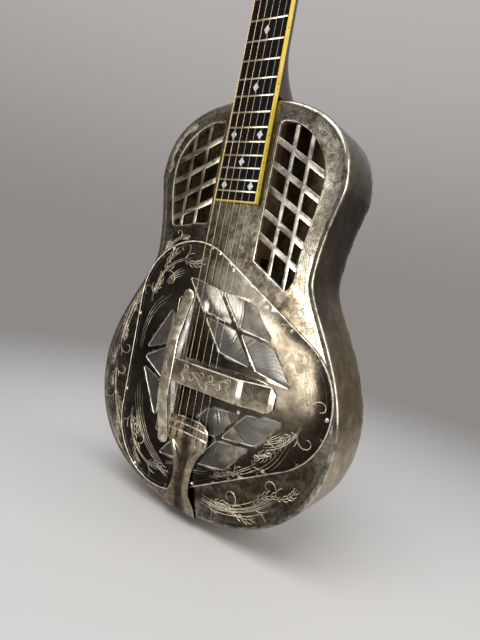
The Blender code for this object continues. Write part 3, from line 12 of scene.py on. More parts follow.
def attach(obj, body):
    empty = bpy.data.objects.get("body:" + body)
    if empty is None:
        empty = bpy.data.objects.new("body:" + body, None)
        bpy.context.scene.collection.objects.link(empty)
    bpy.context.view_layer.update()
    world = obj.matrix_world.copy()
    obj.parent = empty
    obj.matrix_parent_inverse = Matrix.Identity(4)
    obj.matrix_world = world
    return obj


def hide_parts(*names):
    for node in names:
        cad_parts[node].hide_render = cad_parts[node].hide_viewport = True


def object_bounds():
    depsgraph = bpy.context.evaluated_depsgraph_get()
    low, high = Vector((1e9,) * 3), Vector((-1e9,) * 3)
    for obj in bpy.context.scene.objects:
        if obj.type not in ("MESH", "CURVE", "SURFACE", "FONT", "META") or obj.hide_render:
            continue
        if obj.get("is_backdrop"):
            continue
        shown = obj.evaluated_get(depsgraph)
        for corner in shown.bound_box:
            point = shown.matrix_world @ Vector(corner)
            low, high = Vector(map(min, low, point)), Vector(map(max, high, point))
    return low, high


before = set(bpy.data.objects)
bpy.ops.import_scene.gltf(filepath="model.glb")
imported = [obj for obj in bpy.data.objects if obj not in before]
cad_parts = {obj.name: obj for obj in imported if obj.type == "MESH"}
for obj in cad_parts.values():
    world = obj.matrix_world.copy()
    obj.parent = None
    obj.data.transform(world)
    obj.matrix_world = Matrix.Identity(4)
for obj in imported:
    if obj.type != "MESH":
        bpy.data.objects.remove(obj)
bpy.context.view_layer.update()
MM = 0.001
GAP = 0.3 * MM

# Body shell
BODY_LENGTH, BODY_DEPTH = 493.5 * MM, 80.0 * MM
SHEET, SHOULDER = 1.0 * MM, 5.0 * MM
LOWER_HALF, LOWER_Z = 175.0 * MM, 144.0 * MM
WAIST_HALF, WAIST_Z = 113.0 * MM, 304.0 * MM
UPPER_HALF, UPPER_Z = 128.0 * MM, 401.5 * MM
TAIL_FULL, LOWER_FULL_DOWN, LOWER_FULL_UP, WAIST_FULL_DOWN = 0.61, 0.64, 0.43, 0.17
WAIST_FULL_UP, UPPER_FULL_DOWN, UPPER_FULL_UP, HEAD_FULL = 0.51, 0.11, 0.67, 0.62
CROWN_RUN, CROWN_DROP = 34.0 * MM, 1.2 * MM      # the top falls away a little towards its rim

# Cover, cones and bridge
AXIS_Z = 169.5 * MM
CONE_REACH, CONE_RADIUS, CONE_BASE, CONE_HEIGHT = 87.0 * MM, 70.0 * MM, 21.7 * MM, 12.4 * MM
CONE_SHEET, CONE_RIM, RING_PITCH, RING_HEIGHT = 0.6 * MM, 5.0 * MM, 4.2 * MM, 0.010 * MM
COVER_CORNER = 80.0 * MM
COVER_HEIGHT, COVER_SHEET = 5.5 * MM, 0.8 * MM
COVER_EDGE, COVER_DOME_RUN = 1.6 * MM, 34.0 * MM    # it rises from its edge in a shallow dome
BAR, PANE_LIP, PANE_CORNER = 6.0 * MM, 1.6 * MM, 1.6 * MM
FIELD_RADIUS, FIELD_LONG, FIELD_SHORT = 74.7 * MM, 185.0 * MM, 71.0 * MM
FAN_TIP_X, FAN_CUT_X = -94.0 * MM, -60.0 * MM
SLOT_LEFT, SLOT_RIGHT, SLOT_HALF = -54.0 * MM, -27.0 * MM, 84.0 * MM
CROSS_HALF, CROSS_END, SLOT_CORNER = 15.0 * MM, 93.0 * MM, 1.2 * MM
SADDLE_Z, SADDLE_HALF, SADDLE_THICK, SADDLE_HEIGHT = 171.5 * MM, 29.0 * MM, 4.0 * MM, 13.0 * MM
BRIDGE_SEAT, STROKE_PITCH = -3.0 * MM, 2.0 * MM

# Handrest
STRAP_X, STRAP_WIDTH, STRAP_TOP = -40.0 * MM, 16.0 * MM, 21.2 * MM
STRAP_FLAT, STRAP_FOOT, STRAP_END = 35.0 * MM, 87.0 * MM, 96.5 * MM
REST_SHEET, BAR_TOP, BAR_WIDTH = 1.5 * MM, 19.9 * MM, 28.5 * MM
BAR_BEND_X, BAR_FOOT_X, BAR_END_X = 70.0 * MM, 96.5 * MM, 103.5 * MM

# Grilles
GRILLE_INNER, GRILLE_OUTER, GRILLE_TOP = 38.0 * MM, 92.0 * MM, 467.0 * MM
TREBLE_FOOT, BASS_FOOT = 312.5 * MM, 348.0 * MM
LIP_DEPTH = 4.8 * MM

# Scale, board and strings
SCALE, NUT_Z, FRETS, BOARD_PLACES = 638.0 * MM, 811.5 * MM, 19, 20
BOARD_THICK, BOARD_NUT_HALF, BOARD_JOIN_HALF = 6.5 * MM, 22.5 * MM, 27.75 * MM
BINDING, FRET_HEIGHT = 1.6 * MM, 1.0 * MM
NUT_THICK, NUT_HEIGHT = 4.5 * MM, 8.1 * MM
STRING_NUT_HALF, STRING_SADDLE_HALF = 19.5 * MM, 25.0 * MM
STRING_GAUGES = (1.42 * MM, 1.12 * MM, 0.86 * MM, 0.66 * MM, 0.46 * MM, 0.38 * MM)
WOUND_STRINGS, STRING_TURNS, WRAP_PITCH = 4, 3, 0.34 * MM
TAIL_SHEET, TAIL_HEAD_HEIGHT, TAIL_SLOT_Z = 1.2 * MM, 10.7 * MM, 93.0 * MM
TAIL_SLOT_SPACING, TAIL_SLOT_WIDTH, PIN_Y = 10.4 * MM, 2.2 * MM, 41.0 * MM
TAIL_RIDGE_LOW, TAIL_RIDGE_HIGH = 99.5 * MM, 108.5 * MM

# Neck and headstock
NECK_START = BODY_LENGTH + 2 * GAP
NECK_THICK_NUT, NECK_THICK_BODY = 14.0 * MM, 18.0 * MM
HEEL_DEPTH, HEEL_CROWN, HEEL_RUN, HEEL_FLAT, HEEL_CAP = 68.0 * MM, 5.0 * MM, 62.0 * MM, 10.0 * MM, 2.0 * MM
HEAD_ROOT, HEAD_ANGLE, HEAD_LENGTH = 7.5 * MM, math.radians(13.0), 166.0 * MM
HEAD_THICK, VENEER = 14.0 * MM, 1.6 * MM
HEAD_SLOT_WIDTH, HEAD_RIB_WIDTH, HEAD_WALL = 16.0 * MM, 13.0 * MM, 9.5 * MM
HEAD_HALF = HEAD_RIB_WIDTH / 2 + HEAD_SLOT_WIDTH + HEAD_WALL
HEAD_SLOT_PAST, POST_INNER, POST_SPACING, POST_FIRST = 18.0 * MM, 2.5 * MM, 35.0 * MM, 40.0 * MM
ROLLER_RADIUS, SHAFT_RADIUS, PLATE_THICK = 4.6 * MM, 2.8 * MM, 1.2 * MM
GEAR_TEETH, GEAR_PITCH_RADIUS, WORM_PITCH_RADIUS = 14, 5.6 * MM, 2.6 * MM
TOOTH_DEPTH, TOOTH_ROOT, GEAR_FACE = 0.4 * MM, 0.65 * MM, 2.4 * MM
WORM_TURNS, WORM_SHAFT, WORM_PLAY = 3, 1.4 * MM, 0.6 * MM
THREAD_ROOT_WIDTH, THREAD_TIP_WIDTH = 1.25 * MM, 0.6 * MM
EAR_THICK, BUTTON_GAP = 1.6 * MM, 6.0 * MM
KNOB_LENGTH, KNOB_HALF, KNOB_FLAT = 13.0 * MM, 7.5 * MM, 0.62
WORM_PITCH = 2 * math.pi * GEAR_PITCH_RADIUS / GEAR_TEETH
WORM_LENGTH = WORM_TURNS * WORM_PITCH
WORM_CREST, WORM_ROOT = WORM_PITCH_RADIUS + TOOTH_DEPTH, WORM_PITCH_RADIUS - TOOTH_ROOT
GEAR_DISTANCE = GEAR_PITCH_RADIUS + WORM_PITCH_RADIUS
GEAR_X = HEAD_HALF + GAP + PLATE_THICK + GAP + WORM_CREST
EAR_OUTER = WORM_LENGTH / 2 + WORM_PLAY + EAR_THICK


# Outlines


def bezier(p0, p1, p2, p3, steps):
    """Points of a cubic curve, without its last one."""
    points = []
    for k in range(steps):
        t = k / steps
        s = 1 - t
        weights = (s ** 3, 3 * s * s * t, 3 * s * t * t, t ** 3)
        points.append(tuple(sum(w * p[i] for w, p in zip(weights, (p0, p1, p2, p3)))
                            for i in range(len(p0))))
    return points


def body_outline(steps=26):
    """The guitar shape seen from the front, counter-clockwise from its lowest point."""
    below, above, crown = WAIST_Z - LOWER_Z, UPPER_Z - WAIST_Z, BODY_LENGTH - UPPER_Z
    nodes = [(0, 0), (LOWER_HALF, LOWER_Z), (WAIST_HALF, WAIST_Z), (UPPER_HALF, UPPER_Z), (0, BODY_LENGTH)]
    handles = [
        ((LOWER_HALF * TAIL_FULL, 0), (LOWER_HALF, LOWER_Z * (1 - LOWER_FULL_DOWN))),
        ((LOWER_HALF, LOWER_Z + below * LOWER_FULL_UP), (WAIST_HALF, WAIST_Z - below * WAIST_FULL_DOWN)),
        ((WAIST_HALF, WAIST_Z + above * WAIST_FULL_UP), (UPPER_HALF, UPPER_Z - above * UPPER_FULL_DOWN)),
        ((UPPER_HALF, UPPER_Z + crown * UPPER_FULL_UP), (UPPER_HALF * HEAD_FULL, BODY_LENGTH)),
    ]
    right = []
    for (start, end), (out, into) in zip(zip(nodes, nodes[1:]), handles):
        right += bezier(start, out, into, end, steps)
    return right + [nodes[-1]] + [(-x, z) for x, z in reversed(right[1:])]


def offset(points, distance):
    """Move a closed counter-clockwise outline inwards by a distance, corner by corner."""
    moved = []
    count = len(points)
    for i in range(count):
        before, here, after = Vector(points[i - 1]), Vector(points[i]), Vector(points[(i + 1) % count])
        into, out = (here - before).normalized(), (after - here).normalized()
        normal_in, normal_out = Vector((-into.y, into.x)), Vector((-out.y, out.x))
        middle = (normal_in + normal_out).normalized()
        moved.append(tuple(here + middle * (distance / max(middle.dot(normal_in), 0.3))))
    return moved


def corner_arc(before, here, after, radius, steps=5):
    """Points of the arc that rounds one corner."""
    before, here, after = Vector(before), Vector(here), Vector(after)
    to_before, to_after = (before - here).normalized(), (after - here).normalized()
    half = to_before.angle(to_after) / 2
    start = here + to_before * (radius / math.tan(half))
    end = here + to_after * (radius / math.tan(half))
    centre = here + (to_before + to_after).normalized() * (radius / math.sin(half))
    first = math.atan2(start.y - centre.y, start.x - centre.x)
    sweep = math.atan2(end.y - centre.y, end.x - centre.x) - first
    sweep = (sweep + math.pi) % (2 * math.pi) - math.pi
    return around(centre, radius, [first + sweep * k / steps for k in range(steps + 1)])


def rounded(corners, radius, steps=5):
    points = []
    for i, here in enumerate(corners):
        points += corner_arc(corners[i - 1], here, corners[(i + 1) % len(corners)], radius, steps)
    return points


def treble_opening(steps=14):
    inner, outer, top = GRILLE_INNER, GRILLE_OUTER, GRILLE_TOP
    heel, toe, crest = TREBLE_FOOT, (85 * MM, 285.5 * MM), (103.5 * MM, 404 * MM)
    points = corner_arc((inner, top), (inner, heel), toe, 3 * MM)
    points += corner_arc((inner, heel), toe, (outer, 296 * MM), 5 * MM)
    points += bezier((outer, 298 * MM), (outer, 345 * MM), (crest[0], 372 * MM), crest, steps)
    points += bezier(crest, (crest[0], 436 * MM), (76 * MM, 462 * MM), (50 * MM, top), steps)
    return points + corner_arc((50 * MM, top), (inner, top), (inner, heel), 6 * MM)


def bass_opening(steps=14):
    inner, top, foot = -GRILLE_INNER, GRILLE_TOP, BASS_FOOT
    toe, crest = (-93.5 * MM, 340 * MM), (-104.5 * MM, 404 * MM)
    points = corner_arc((-97 * MM, 357 * MM), toe, (-78 * MM, 341 * MM), 4 * MM)
    points += [(-76 * MM, 341.5 * MM), (-60 * MM, foot - 2.5 * MM)]
    points += corner_arc((-60 * MM, foot - 2.5 * MM), (inner, foot), (inner, top), 4 * MM)
    points += corner_arc((inner, foot), (inner, top), (-50 * MM, top), 6 * MM)
    points += bezier((-52 * MM, top), (-76 * MM, 462 * MM), (crest[0], 438 * MM), crest, steps)
    return points + bezier(crest, (crest[0], 384 * MM), (-99 * MM, 364 * MM), (-96 * MM, 352 * MM), steps)


def cone_axes():
    """Name and (x, z) of each cone's axis."""
    names = ("cone_treble", "cone_bass_upper", "cone_bass_lower")
    turns = [2 * math.pi * k / 3 for k in range(3)]
    return [(name, CONE_REACH * math.cos(a), AXIS_Z + CONE_REACH * math.sin(a))
            for name, a in zip(names, turns)]


def around(middle, radius, angles):
    """Points of a circle at some angles."""
    return [(middle[0] + radius * math.cos(a), middle[1] + radius * math.sin(a)) for a in angles]


def cover_outline(inset, steps=34):
    """The rounded triangle, with arcs about the cones' axes."""
    points = []
    for k, (_, x, z) in enumerate(cone_axes()):
        first = math.radians(120 * k - 60)
        angles = [first + math.radians(120) * i / steps for i in range(steps + 1)]
        points += around((x, z), COVER_CORNER - inset, angles)
    return points


def from_centre(points):
    return [(x, AXIS_Z + z) for x, z in points]


def mirrored(points):
    """The same outline upside down, still counter-clockwise."""
    return [(x, 2 * AXIS_Z - z) for x, z in reversed(points)]


def field_corners(grow=0.0):
    """The rhombus of the upper window group: left, lower, right and upper corner."""
    long_way = Vector((math.cos(math.radians(-30)), math.sin(math.radians(-30))))
    out = Vector((math.cos(math.radians(60)), math.sin(math.radians(60))))
    middle = out * FIELD_RADIUS
    corners = [middle - long_way * FIELD_LONG / 2, middle - out * FIELD_SHORT / 2,
               middle + long_way * FIELD_LONG / 2, middle + out * FIELD_SHORT / 2]
    return offset([tuple(c) for c in corners], -grow)


def pane_outlines():
    """All the panes of the cover: two groups of four and a fan of three."""
    left, lower, _, upper = (Vector(c) for c in field_corners())
    down, up = lower - left, upper - left
    bar = BAR / 2 / (abs(down.cross(up)) / up.length)
    spans = ((0, 0.5 - bar), (0.5 + bar, 1))
    panes = []
    for s0, s1 in spans:
        for t0, t1 in spans:
            corners = [left + down * s + up * t for s, t in ((s0, t0), (s1, t0), (s1, t1), (s0, t1))]
            panes.append(rounded(from_centre([tuple(c) for c in corners]), PANE_CORNER, 4))
    run = FAN_CUT_X - FAN_TIP_X
    half, reach = run * math.tan(math.radians(30)), run * math.tan(math.radians(60))
    middle = [(FAN_TIP_X, 0), (FAN_CUT_X, -half), (FAN_CUT_X, half)]
    outer = [(FAN_TIP_X, 2 * BAR), (FAN_CUT_X, half + BAR), (FAN_CUT_X, 2 * BAR + reach)]
    outer = rounded(from_centre(outer), PANE_CORNER, 4)
    fan = [outer, rounded(from_centre(middle), PANE_CORNER, 4), mirrored(outer)]
    return panes + [mirrored(pane) for pane in panes] + fan


def slot_outline(grow=0.0):
    """T shaped opening over the bridge."""
    lower = [(SLOT_LEFT, -SLOT_HALF), (SLOT_RIGHT, -SLOT_HALF), (SLOT_RIGHT, -CROSS_HALF),
             (CROSS_END, -CROSS_HALF)]
    corners = lower + [(x, -z) for x, z in reversed(lower)]
    return offset(rounded(from_centre(corners), SLOT_CORNER, 4), -grow)


def fret_z(n):
    return NUT_Z - SCALE * (1 - 2 ** (-n / 12))


def board_half(z):
    """Half the width of the neck and the bound fingerboard."""
    return BOARD_NUT_HALF + (BOARD_JOIN_HALF - BOARD_NUT_HALF) * (NUT_Z - z) / (NUT_Z - fret_z(12))


def string_places(k):
    """Distance from the middle of string k at the tailpiece, the saddle and the nut."""
    share = (k - 2.5) / 2.5
    return TAIL_SLOT_SPACING * 2.5 * share, STRING_SADDLE_HALF * share, STRING_NUT_HALF * share


RIM = body_outline()
RIM_POINTS = np.array(RIM)
RIM_NEXT = np.roll(RIM_POINTS, -1, axis=0) - RIM_POINTS
RIM_LENGTHS = (RIM_NEXT ** 2).sum(1)


def rim_distance(places):
    """How far each (x, z) place is from the body's rim."""
    places = np.atleast_2d(np.array(places, float))
    away = np.empty(len(places))
    for start in range(0, len(places), 4000):
        part = places[start:start + 4000, None, :] - RIM_POINTS[None]
        share = np.clip((part * RIM_NEXT[None]).sum(2) / RIM_LENGTHS, 0, 1)
        away[start:start + 4000] = np.sqrt(((part - share[..., None] * RIM_NEXT[None]) ** 2).sum(2).min(1))
    return away


def crown_drop(places):
    """How far the top plate lies behind y = 0 at each place."""
    share = np.clip(1 - rim_distance(places) / CROWN_RUN, 0, 1)
    return CROWN_DROP * share ** 2


# Making meshes


def linked(name, data):
    """New object in the scene."""
    obj = bpy.data.objects.new(name, data)
    bpy.context.scene.collection.objects.link(obj)
    return obj


def finish_piece(name, shape, mats, replaces=(), body="guitar", angle=32):
    """Link a finished mesh, or what a bmesh holds, as one piece of the guitar."""
    mesh = to_mesh(shape, name) if isinstance(shape, bmesh.types.BMesh) else shape
    obj = linked(name, mesh)
    for mat in mats if isinstance(mats, list) else [mats]:
        mesh.materials.append(mat)
    mesh.shade_smooth()
    mesh.set_sharp_from_angle(angle=math.radians(angle))
    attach(obj, body)
    if replaces:
        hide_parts(*replaces)


def to_mesh(bm, name, recalc=True):
    if recalc:
        bmesh.ops.recalc_face_normals(bm, faces=bm.faces)
    mesh = bpy.data.meshes.new(name)
    bm.to_mesh(mesh)
    bm.free()
    return mesh


def ring(bm, points):
    return [bm.verts.new(p) for p in points]


def bridge(bm, first, second):
    count = len(first)
    for i in range(count):
        bm.faces.new((first[i], first[(i + 1) % count], second[(i + 1) % count], second[i]))


def band(bm, rings, closed=False):
    for first, second in zip(rings, rings[1:] + (rings[:1] if closed else [])):
        bridge(bm, first, second)


def fill(bm, rings):
    """Fill the flat area between an outer ring and the holes in it."""
    edges = []
    for loop in rings:
        for i, vert in enumerate(loop):
            other = loop[(i + 1) % len(loop)]
            edges.append(bm.edges.get((vert, other)) or bm.edges.new((vert, other)))
    return bmesh.ops.triangle_fill(bm, use_beauty=True, use_dissolve=False, edges=edges)


def at_depth(points, y):
    return [Vector((x, y, z)) for x, z in points]


def edged_hole(bm, outline, face, under, lip, thick=SHEET, soft=0.9 * MM):
    """Hole with a softly turned edge that ends in a lip. Returns its rings in the two faces."""
    steps = [(-soft, face), (-soft * 0.45, face + soft * 0.12), (-soft * 0.12, face + soft * 0.45),
             (0, face + soft), (0, lip), (-thick, lip), (-thick, under)]
    rings = [ring(bm, at_depth(offset(outline, inset), y)) for inset, y in steps]
    band(bm, rings)
    return rings[0], rings[-1]


def front_mesh(bm, name):
    """Mesh of an open sheet whose faces all look to the front."""
    for face in bm.faces:
        face.normal_update()
        if face.normal.y > 0:
            face.normal_flip()
    return to_mesh(bm, name, recalc=False)


def box_of(points):
    """Lowest and highest corner of an outline."""
    xs, zs = zip(*points)
    return (min(xs), min(zs)), (max(xs), max(zs))


def slice_up(bm, step, low, high):
    """Cut every face along a square net, so that the sheet can be given a gentle curve."""
    for way, start, end in zip((Vector((1, 0, 0)), Vector((0, 0, 1))), low, high):
        count = int((end - start) / step)
        for k in range(1, count + 1):
            place = way * (start + k * (end - start) / (count + 1))
            everything = bm.verts[:] + bm.edges[:] + bm.faces[:]
            bmesh.ops.bisect_plane(bm, geom=everything, dist=1e-7, plane_co=place, plane_no=way)


def loft(rings):
    """Closed solid through rings of points."""
    bm = bmesh.new()
    made = [ring(bm, points) for points in rings]
    band(bm, made)
    bm.faces.new(made[0])
    bm.faces.new(made[-1])
    return bm


def prism(points, y0, y1):
    """Flat outline drawn out between two depths."""
    bm = bmesh.new()
    rings = [ring(bm, at_depth(points, y)) for y in (y0, y1)]
    band(bm, rings)
    for loop in rings:
        fill(bm, [loop])
    return bm


def turned(bm, profile, steps, matrix=Matrix()):
    """Turn (radius, height) points about local Z; a radius of 0 closes an end."""
    angles = [2 * math.pi * k / steps for k in range(steps)]
    rings = []
    for radius, height in profile:
        points = around((0, 0), radius, angles) if radius else [(0, 0)]
        rings.append(ring(bm, [matrix @ Vector((x, y, height)) for x, y in points]))
    for first, second in zip(rings, rings[1:]):
        if min(len(first), len(second)) == 1:
            (centre,), loop = sorted((first, second), key=len)
            for k in range(steps):
                bm.faces.new((centre, loop[k], loop[(k + 1) % steps]))
        else:
            bridge(bm, first, second)


def tube(bm, path, radius, sides=10):
    """Round bar along a path of points, closed at both ends, kept from twisting."""
    path = [Vector(p) for p in path]
    rings = []
    side = ahead_at(path, 0).orthogonal().normalized()
    for i, here in enumerate(path):
        ahead = ahead_at(path, i)
        side = (side - ahead * side.dot(ahead)).normalized()
        turns = around((0, 0), radius, [2 * math.pi * k / sides for k in range(sides)])
        rings.append(ring(bm, [here + side * a + ahead.cross(side) * b for a, b in turns]))
    band(bm, rings)
    bm.faces.new(rings[0])
    bm.faces.new(rings[-1])


def smooth_line(points, steps=8):
    """Catmull curve through points of any size."""
    points = [tuple(p) for p in points]
    ends = [points[0]] + points + [points[-1]]
    line = []
    for a, b, c, d in zip(ends, ends[1:], ends[2:], ends[3:]):
        for k in range(steps):
            t = k / steps
            line.append(tuple(
                0.5 * (2 * q + (r - p) * t + (2 * p - 5 * q + 4 * r - s) * t * t +
                       (3 * q - p - 3 * r + s) * t ** 3)
                for p, q, r, s in zip(a, b, c, d)))
    return line + [points[-1]]


# Shader building


def node(tree, kind, inputs=None, **settings):
    """New node with its sockets set or linked. A colour may leave out its alpha."""
    made = tree.nodes.new(kind)
    for key, value in settings.items():
        setattr(made, key, value)
    for key, value in (inputs or {}).items():
        socket = made.inputs[key]
        if isinstance(value, bpy.types.NodeSocket):
            tree.links.new(value, socket)
        elif socket.type == "RGBA" and len(value) == 3:
            socket.default_value = (*value, 1)
        else:
            socket.default_value = value
    return made


def maths(tree, operation, first, second=0.0, third=0.0, clamp=False):
    inputs = {0: first, 1: second, 2: third}
    return node(tree, "ShaderNodeMath", inputs, operation=operation, use_clamp=clamp).outputs[0]


def noise(tree, vector, scale, detail=4.0, roughness=0.55, distortion=0.0):
    made = node(tree, "ShaderNodeTexNoise", {"Vector": vector, "Scale": scale, "Detail": detail,
                                             "Roughness": roughness, "Distortion": distortion})
    return made.outputs[0]


def spread(tree, value, low, high, to_low=0.0, to_high=1.0):
    """Smooth step from one range to another."""
    made = node(tree, "ShaderNodeMapRange", {"Value": value, "From Min": low, "From Max": high,
                                             "To Min": to_low, "To Max": to_high},
                interpolation_type="SMOOTHSTEP", clamp=True)
    return made.outputs[0]


def blend_colours(tree, share, first, second, way="MIX"):
    return node(tree, "ShaderNodeMix", {0: share, 6: first, 7: second}, data_type="RGBA",
                blend_type=way).outputs[2]


def tinted(tree, colour, tint):
    return blend_colours(tree, 1.0, colour, tint, "MULTIPLY")


def axes(tree, vector):
    """The x, y and z sockets of a vector."""
    return node(tree, "ShaderNodeSeparateXYZ", {0: vector}).outputs


def joined(tree, x=0.0, y=0.0, z=0.0):
    return node(tree, "ShaderNodeCombineXYZ", {0: x, 1: y, 2: z}).outputs[0]


def stretched(tree, vector, scale):
    return node(tree, "ShaderNodeMapping", {"Vector": vector, "Scale": scale}).outputs[0]


def shader_group(name, ins, outs):
    """Empty node group with named sockets. Returns its tree and its input and output nodes."""
    tree = bpy.data.node_groups.new(name, "ShaderNodeTree")
    for label, kind, default in ins:
        socket = tree.interface.new_socket(label, in_out="INPUT", socket_type=f"NodeSocket{kind}")
        if default is not None:
            socket.default_value = default
    for label, kind in outs:
        tree.interface.new_socket(label, in_out="OUTPUT", socket_type=f"NodeSocket{kind}")
    return tree, node(tree, "NodeGroupInput"), node(tree, "NodeGroupOutput")


def give(tree, target, **values):
    """Link sockets to a node's inputs by name."""
    for label, socket in values.items():
        tree.links.new(socket, target.inputs[label.replace("_", " ")])


def make_patina_group():
    """Old nickel silver: dark clouds, tan stains and rubbed places, with the small dents of the sheet."""
    tree, given, outlet = shader_group("aged_patina", [
        ("Vector", "Vector", None), ("Dark", "Color", None), ("Tan", "Color", None),
        ("Rubbed", "Color", None),
        ("Cloud Scale", "Float", 11.0), ("Rubbing", "Float", 0.5), ("Roughness Low", "Float", 0.22),
        ("Roughness High", "Float", 0.45), ("Mottle", "Float", 1.0),
    ], [("Colour", "Color"), ("Roughness", "Float"), ("Height", "Float")])
    place, dark, tan, rubbed, scale, rubbing, smooth, dull, mottling = given.outputs[:9]
    cloud = noise(tree, place, scale, 6, 0.62, 0.8)
    stain = noise(tree, place, maths(tree, "MULTIPLY", scale, 5.3), 5, 0.6, 0.4)
    speck = noise(tree, place, 900.0, 2, 0.5)
    colour = blend_colours(tree, spread(tree, cloud, 0.38, 0.66), dark, tan)
    share = maths(tree, "MULTIPLY", spread(tree, stain, 0.48, 0.72), rubbing)
    colour = blend_colours(tree, share, colour, rubbed)
    mottle = spread(tree, noise(tree, place, 62.0, 6, 0.68, 0.9), 0.40, 0.62)
    mottled = blend_colours(tree, mottle, (0.58, 0.56, 0.53), (1.22, 1.22, 1.2))
    colour = blend_colours(tree, mottling, colour, mottled, "MULTIPLY")
    grime = spread(tree, noise(tree, place, 150.0, 5, 0.75), 0.54, 0.66, 0.0, 0.35)
    colour = blend_colours(tree, grime, colour, (0.03, 0.025, 0.018))
    colour = blend_colours(tree, spread(tree, speck, 0.3, 0.7, 0.0, 0.22), colour, (0.02, 0.018, 0.015))
    rough = node(tree, "ShaderNodeMix", {0: spread(tree, stain, 0.35, 0.7), 2: dull, 3: smooth}).outputs[0]
    dents = maths(tree, "MULTIPLY_ADD", speck, 0.01, noise(tree, place, 26.0, 2, 0.5))
    give(tree, outlet, Colour=colour, Roughness=rough, Height=dents)
    return tree


def make_grain_group():
    """Fine brush lines. The vector comes in already stretched along them."""
    tree, given, outlet = shader_group("brush_grain",
                                       [("Vector", "Vector", None), ("Strength", "Float", 0.3)],
                                       [("Shade", "Float"), ("Height", "Float")])
    place, strength = given.outputs[:2]
    lines = noise(tree, place, 1.0, 3, 0.6)
    shade = maths(tree, "MULTIPLY_ADD", lines, strength, 1.0)
    shade = maths(tree, "SUBTRACT", shade, maths(tree, "MULTIPLY", strength, 0.5))
    give(tree, outlet, Shade=shade, Height=lines)
    return tree


def make_edge_group():
    """Mask of the edges that hands and cloths have rubbed bright."""
    tree, given, outlet = shader_group("edge_wear", [("Vector", "Vector", None), ("Reach", "Float", 0.08)],
                                       [("Mask", "Float")])
    place, reach = given.outputs[:2]
    bend = node(tree, "ShaderNodeNewGeometry").outputs["Pointiness"]
    high = maths(tree, "ADD", reach, 0.5)
    edge = node(tree, "ShaderNodeMapRange", {"Value": bend, "From Min": 0.505, "From Max": high}, clamp=True)
    patchy = spread(tree, noise(tree, place, 70.0, 5, 0.6), 0.3, 0.6)
    give(tree, outlet, Mask=maths(tree, "MULTIPLY", edge.outputs[0], patchy, clamp=True))
    return tree


def make_rings_group():
    """Turning marks round local Y, for spun sheet."""
    tree, given, outlet = shader_group("spun_rings", [("Vector", "Vector", None), ("Pitch", "Float", 0.004)],
                                       [("Mask", "Float"), ("Height", "Float")])
    place, pitch = given.outputs[:2]
    x, _, z = axes(tree, place)
    radius = maths(tree, "SQRT", maths(tree, "MULTIPLY_ADD", x, x, maths(tree, "MULTIPLY", z, z)))
    turn = maths(tree, "DIVIDE", maths(tree, "MULTIPLY", radius, 2 * math.pi), pitch)
    wave = maths(tree, "MULTIPLY_ADD", maths(tree, "SINE", turn), 0.5, 0.5)
    fine = noise(tree, joined(tree, maths(tree, "MULTIPLY", radius, 2600.0)), 1.0, 2, 0.5)
    give(tree, outlet, Mask=wave, Height=maths(tree, "MULTIPLY_ADD", fine, 0.3, wave))
    return tree


def make_weave_group():
    """Crossed wires of a fine gauze in the front plane."""
    tree, given, outlet = shader_group("fine_weave",
                                       [("Vector", "Vector", None), ("Pitch", "Float", 0.0008)],
                                       [("Cover", "Float"), ("Height", "Float")])
    place, pitch = given.outputs[:2]
    x, _, z = axes(tree, place)
    waves = []
    for way in (x, z):
        turn = maths(tree, "DIVIDE", maths(tree, "MULTIPLY", way, 2 * math.pi), pitch)
        waves.append(maths(tree, "ABSOLUTE", maths(tree, "SINE", turn)))
    high = maths(tree, "MAXIMUM", *waves)
    give(tree, outlet, Cover=spread(tree, high, 0.80, 0.93), Height=high)
    return tree


def make_wood_group():
    """Straight long grain along Z with pores."""
    tree, given, outlet = shader_group("long_grain", [
        ("Vector", "Vector", None), ("Early", "Color", None), ("Late", "Color", None),
        ("Fineness", "Float", 1.0),
    ], [("Colour", "Color"), ("Height", "Float")])
    place, early, late, fineness = given.outputs[:4]
    bands = noise(tree, stretched(tree, place, (130, 90, 5)), fineness, 5, 0.6, 1.5)
    pores = noise(tree, stretched(tree, place, (2200, 2200, 60)), fineness, 2, 0.5)
    colour = blend_colours(tree, spread(tree, bands, 0.35, 0.65), late, early)
    colour = blend_colours(tree, spread(tree, pores, 0.56, 0.72, 0.0, 0.7), colour, late)
    give(tree, outlet, Colour=colour, Height=maths(tree, "MULTIPLY_ADD", bands, 0.5, pores))
    return tree


PATINA, GRAIN, EDGES = make_patina_group(), make_grain_group(), make_edge_group()
RINGS, WEAVE, WOOD = make_rings_group(), make_weave_group(), make_wood_group()


def grouped(tree, group, **inputs):
    """Node of a group, its inputs given by name."""
    inputs = {label.replace("_", " "): value for label, value in inputs.items()}
    return node(tree, "ShaderNodeGroup", inputs, node_tree=group)


def start_material(name, metallic, **constants):
    mat = bpy.data.materials.new(name)
    mat.use_nodes = True
    tree = mat.node_tree
    shader = tree.nodes["Principled BSDF"]
    shader.inputs["Metallic"].default_value = metallic
    for label, value in constants.items():
        shader.inputs[label.replace("_", " ")].default_value = value
    place = node(tree, "ShaderNodeTexCoord").outputs["Object"]
    return mat, tree, shader, place


def bumped(tree, shader, height, strength, distance):
    made = node(tree, "ShaderNodeBump", {"Height": height, "Strength": strength, "Distance": distance})
    give(tree, shader, Normal=made.outputs[0])


BRIGHT_EDGE, SHEET_EDGE, FITTING_EDGE = (0.75, 0.68, 0.56), (0.86, 0.79, 0.66), (0.9, 0.84, 0.72)


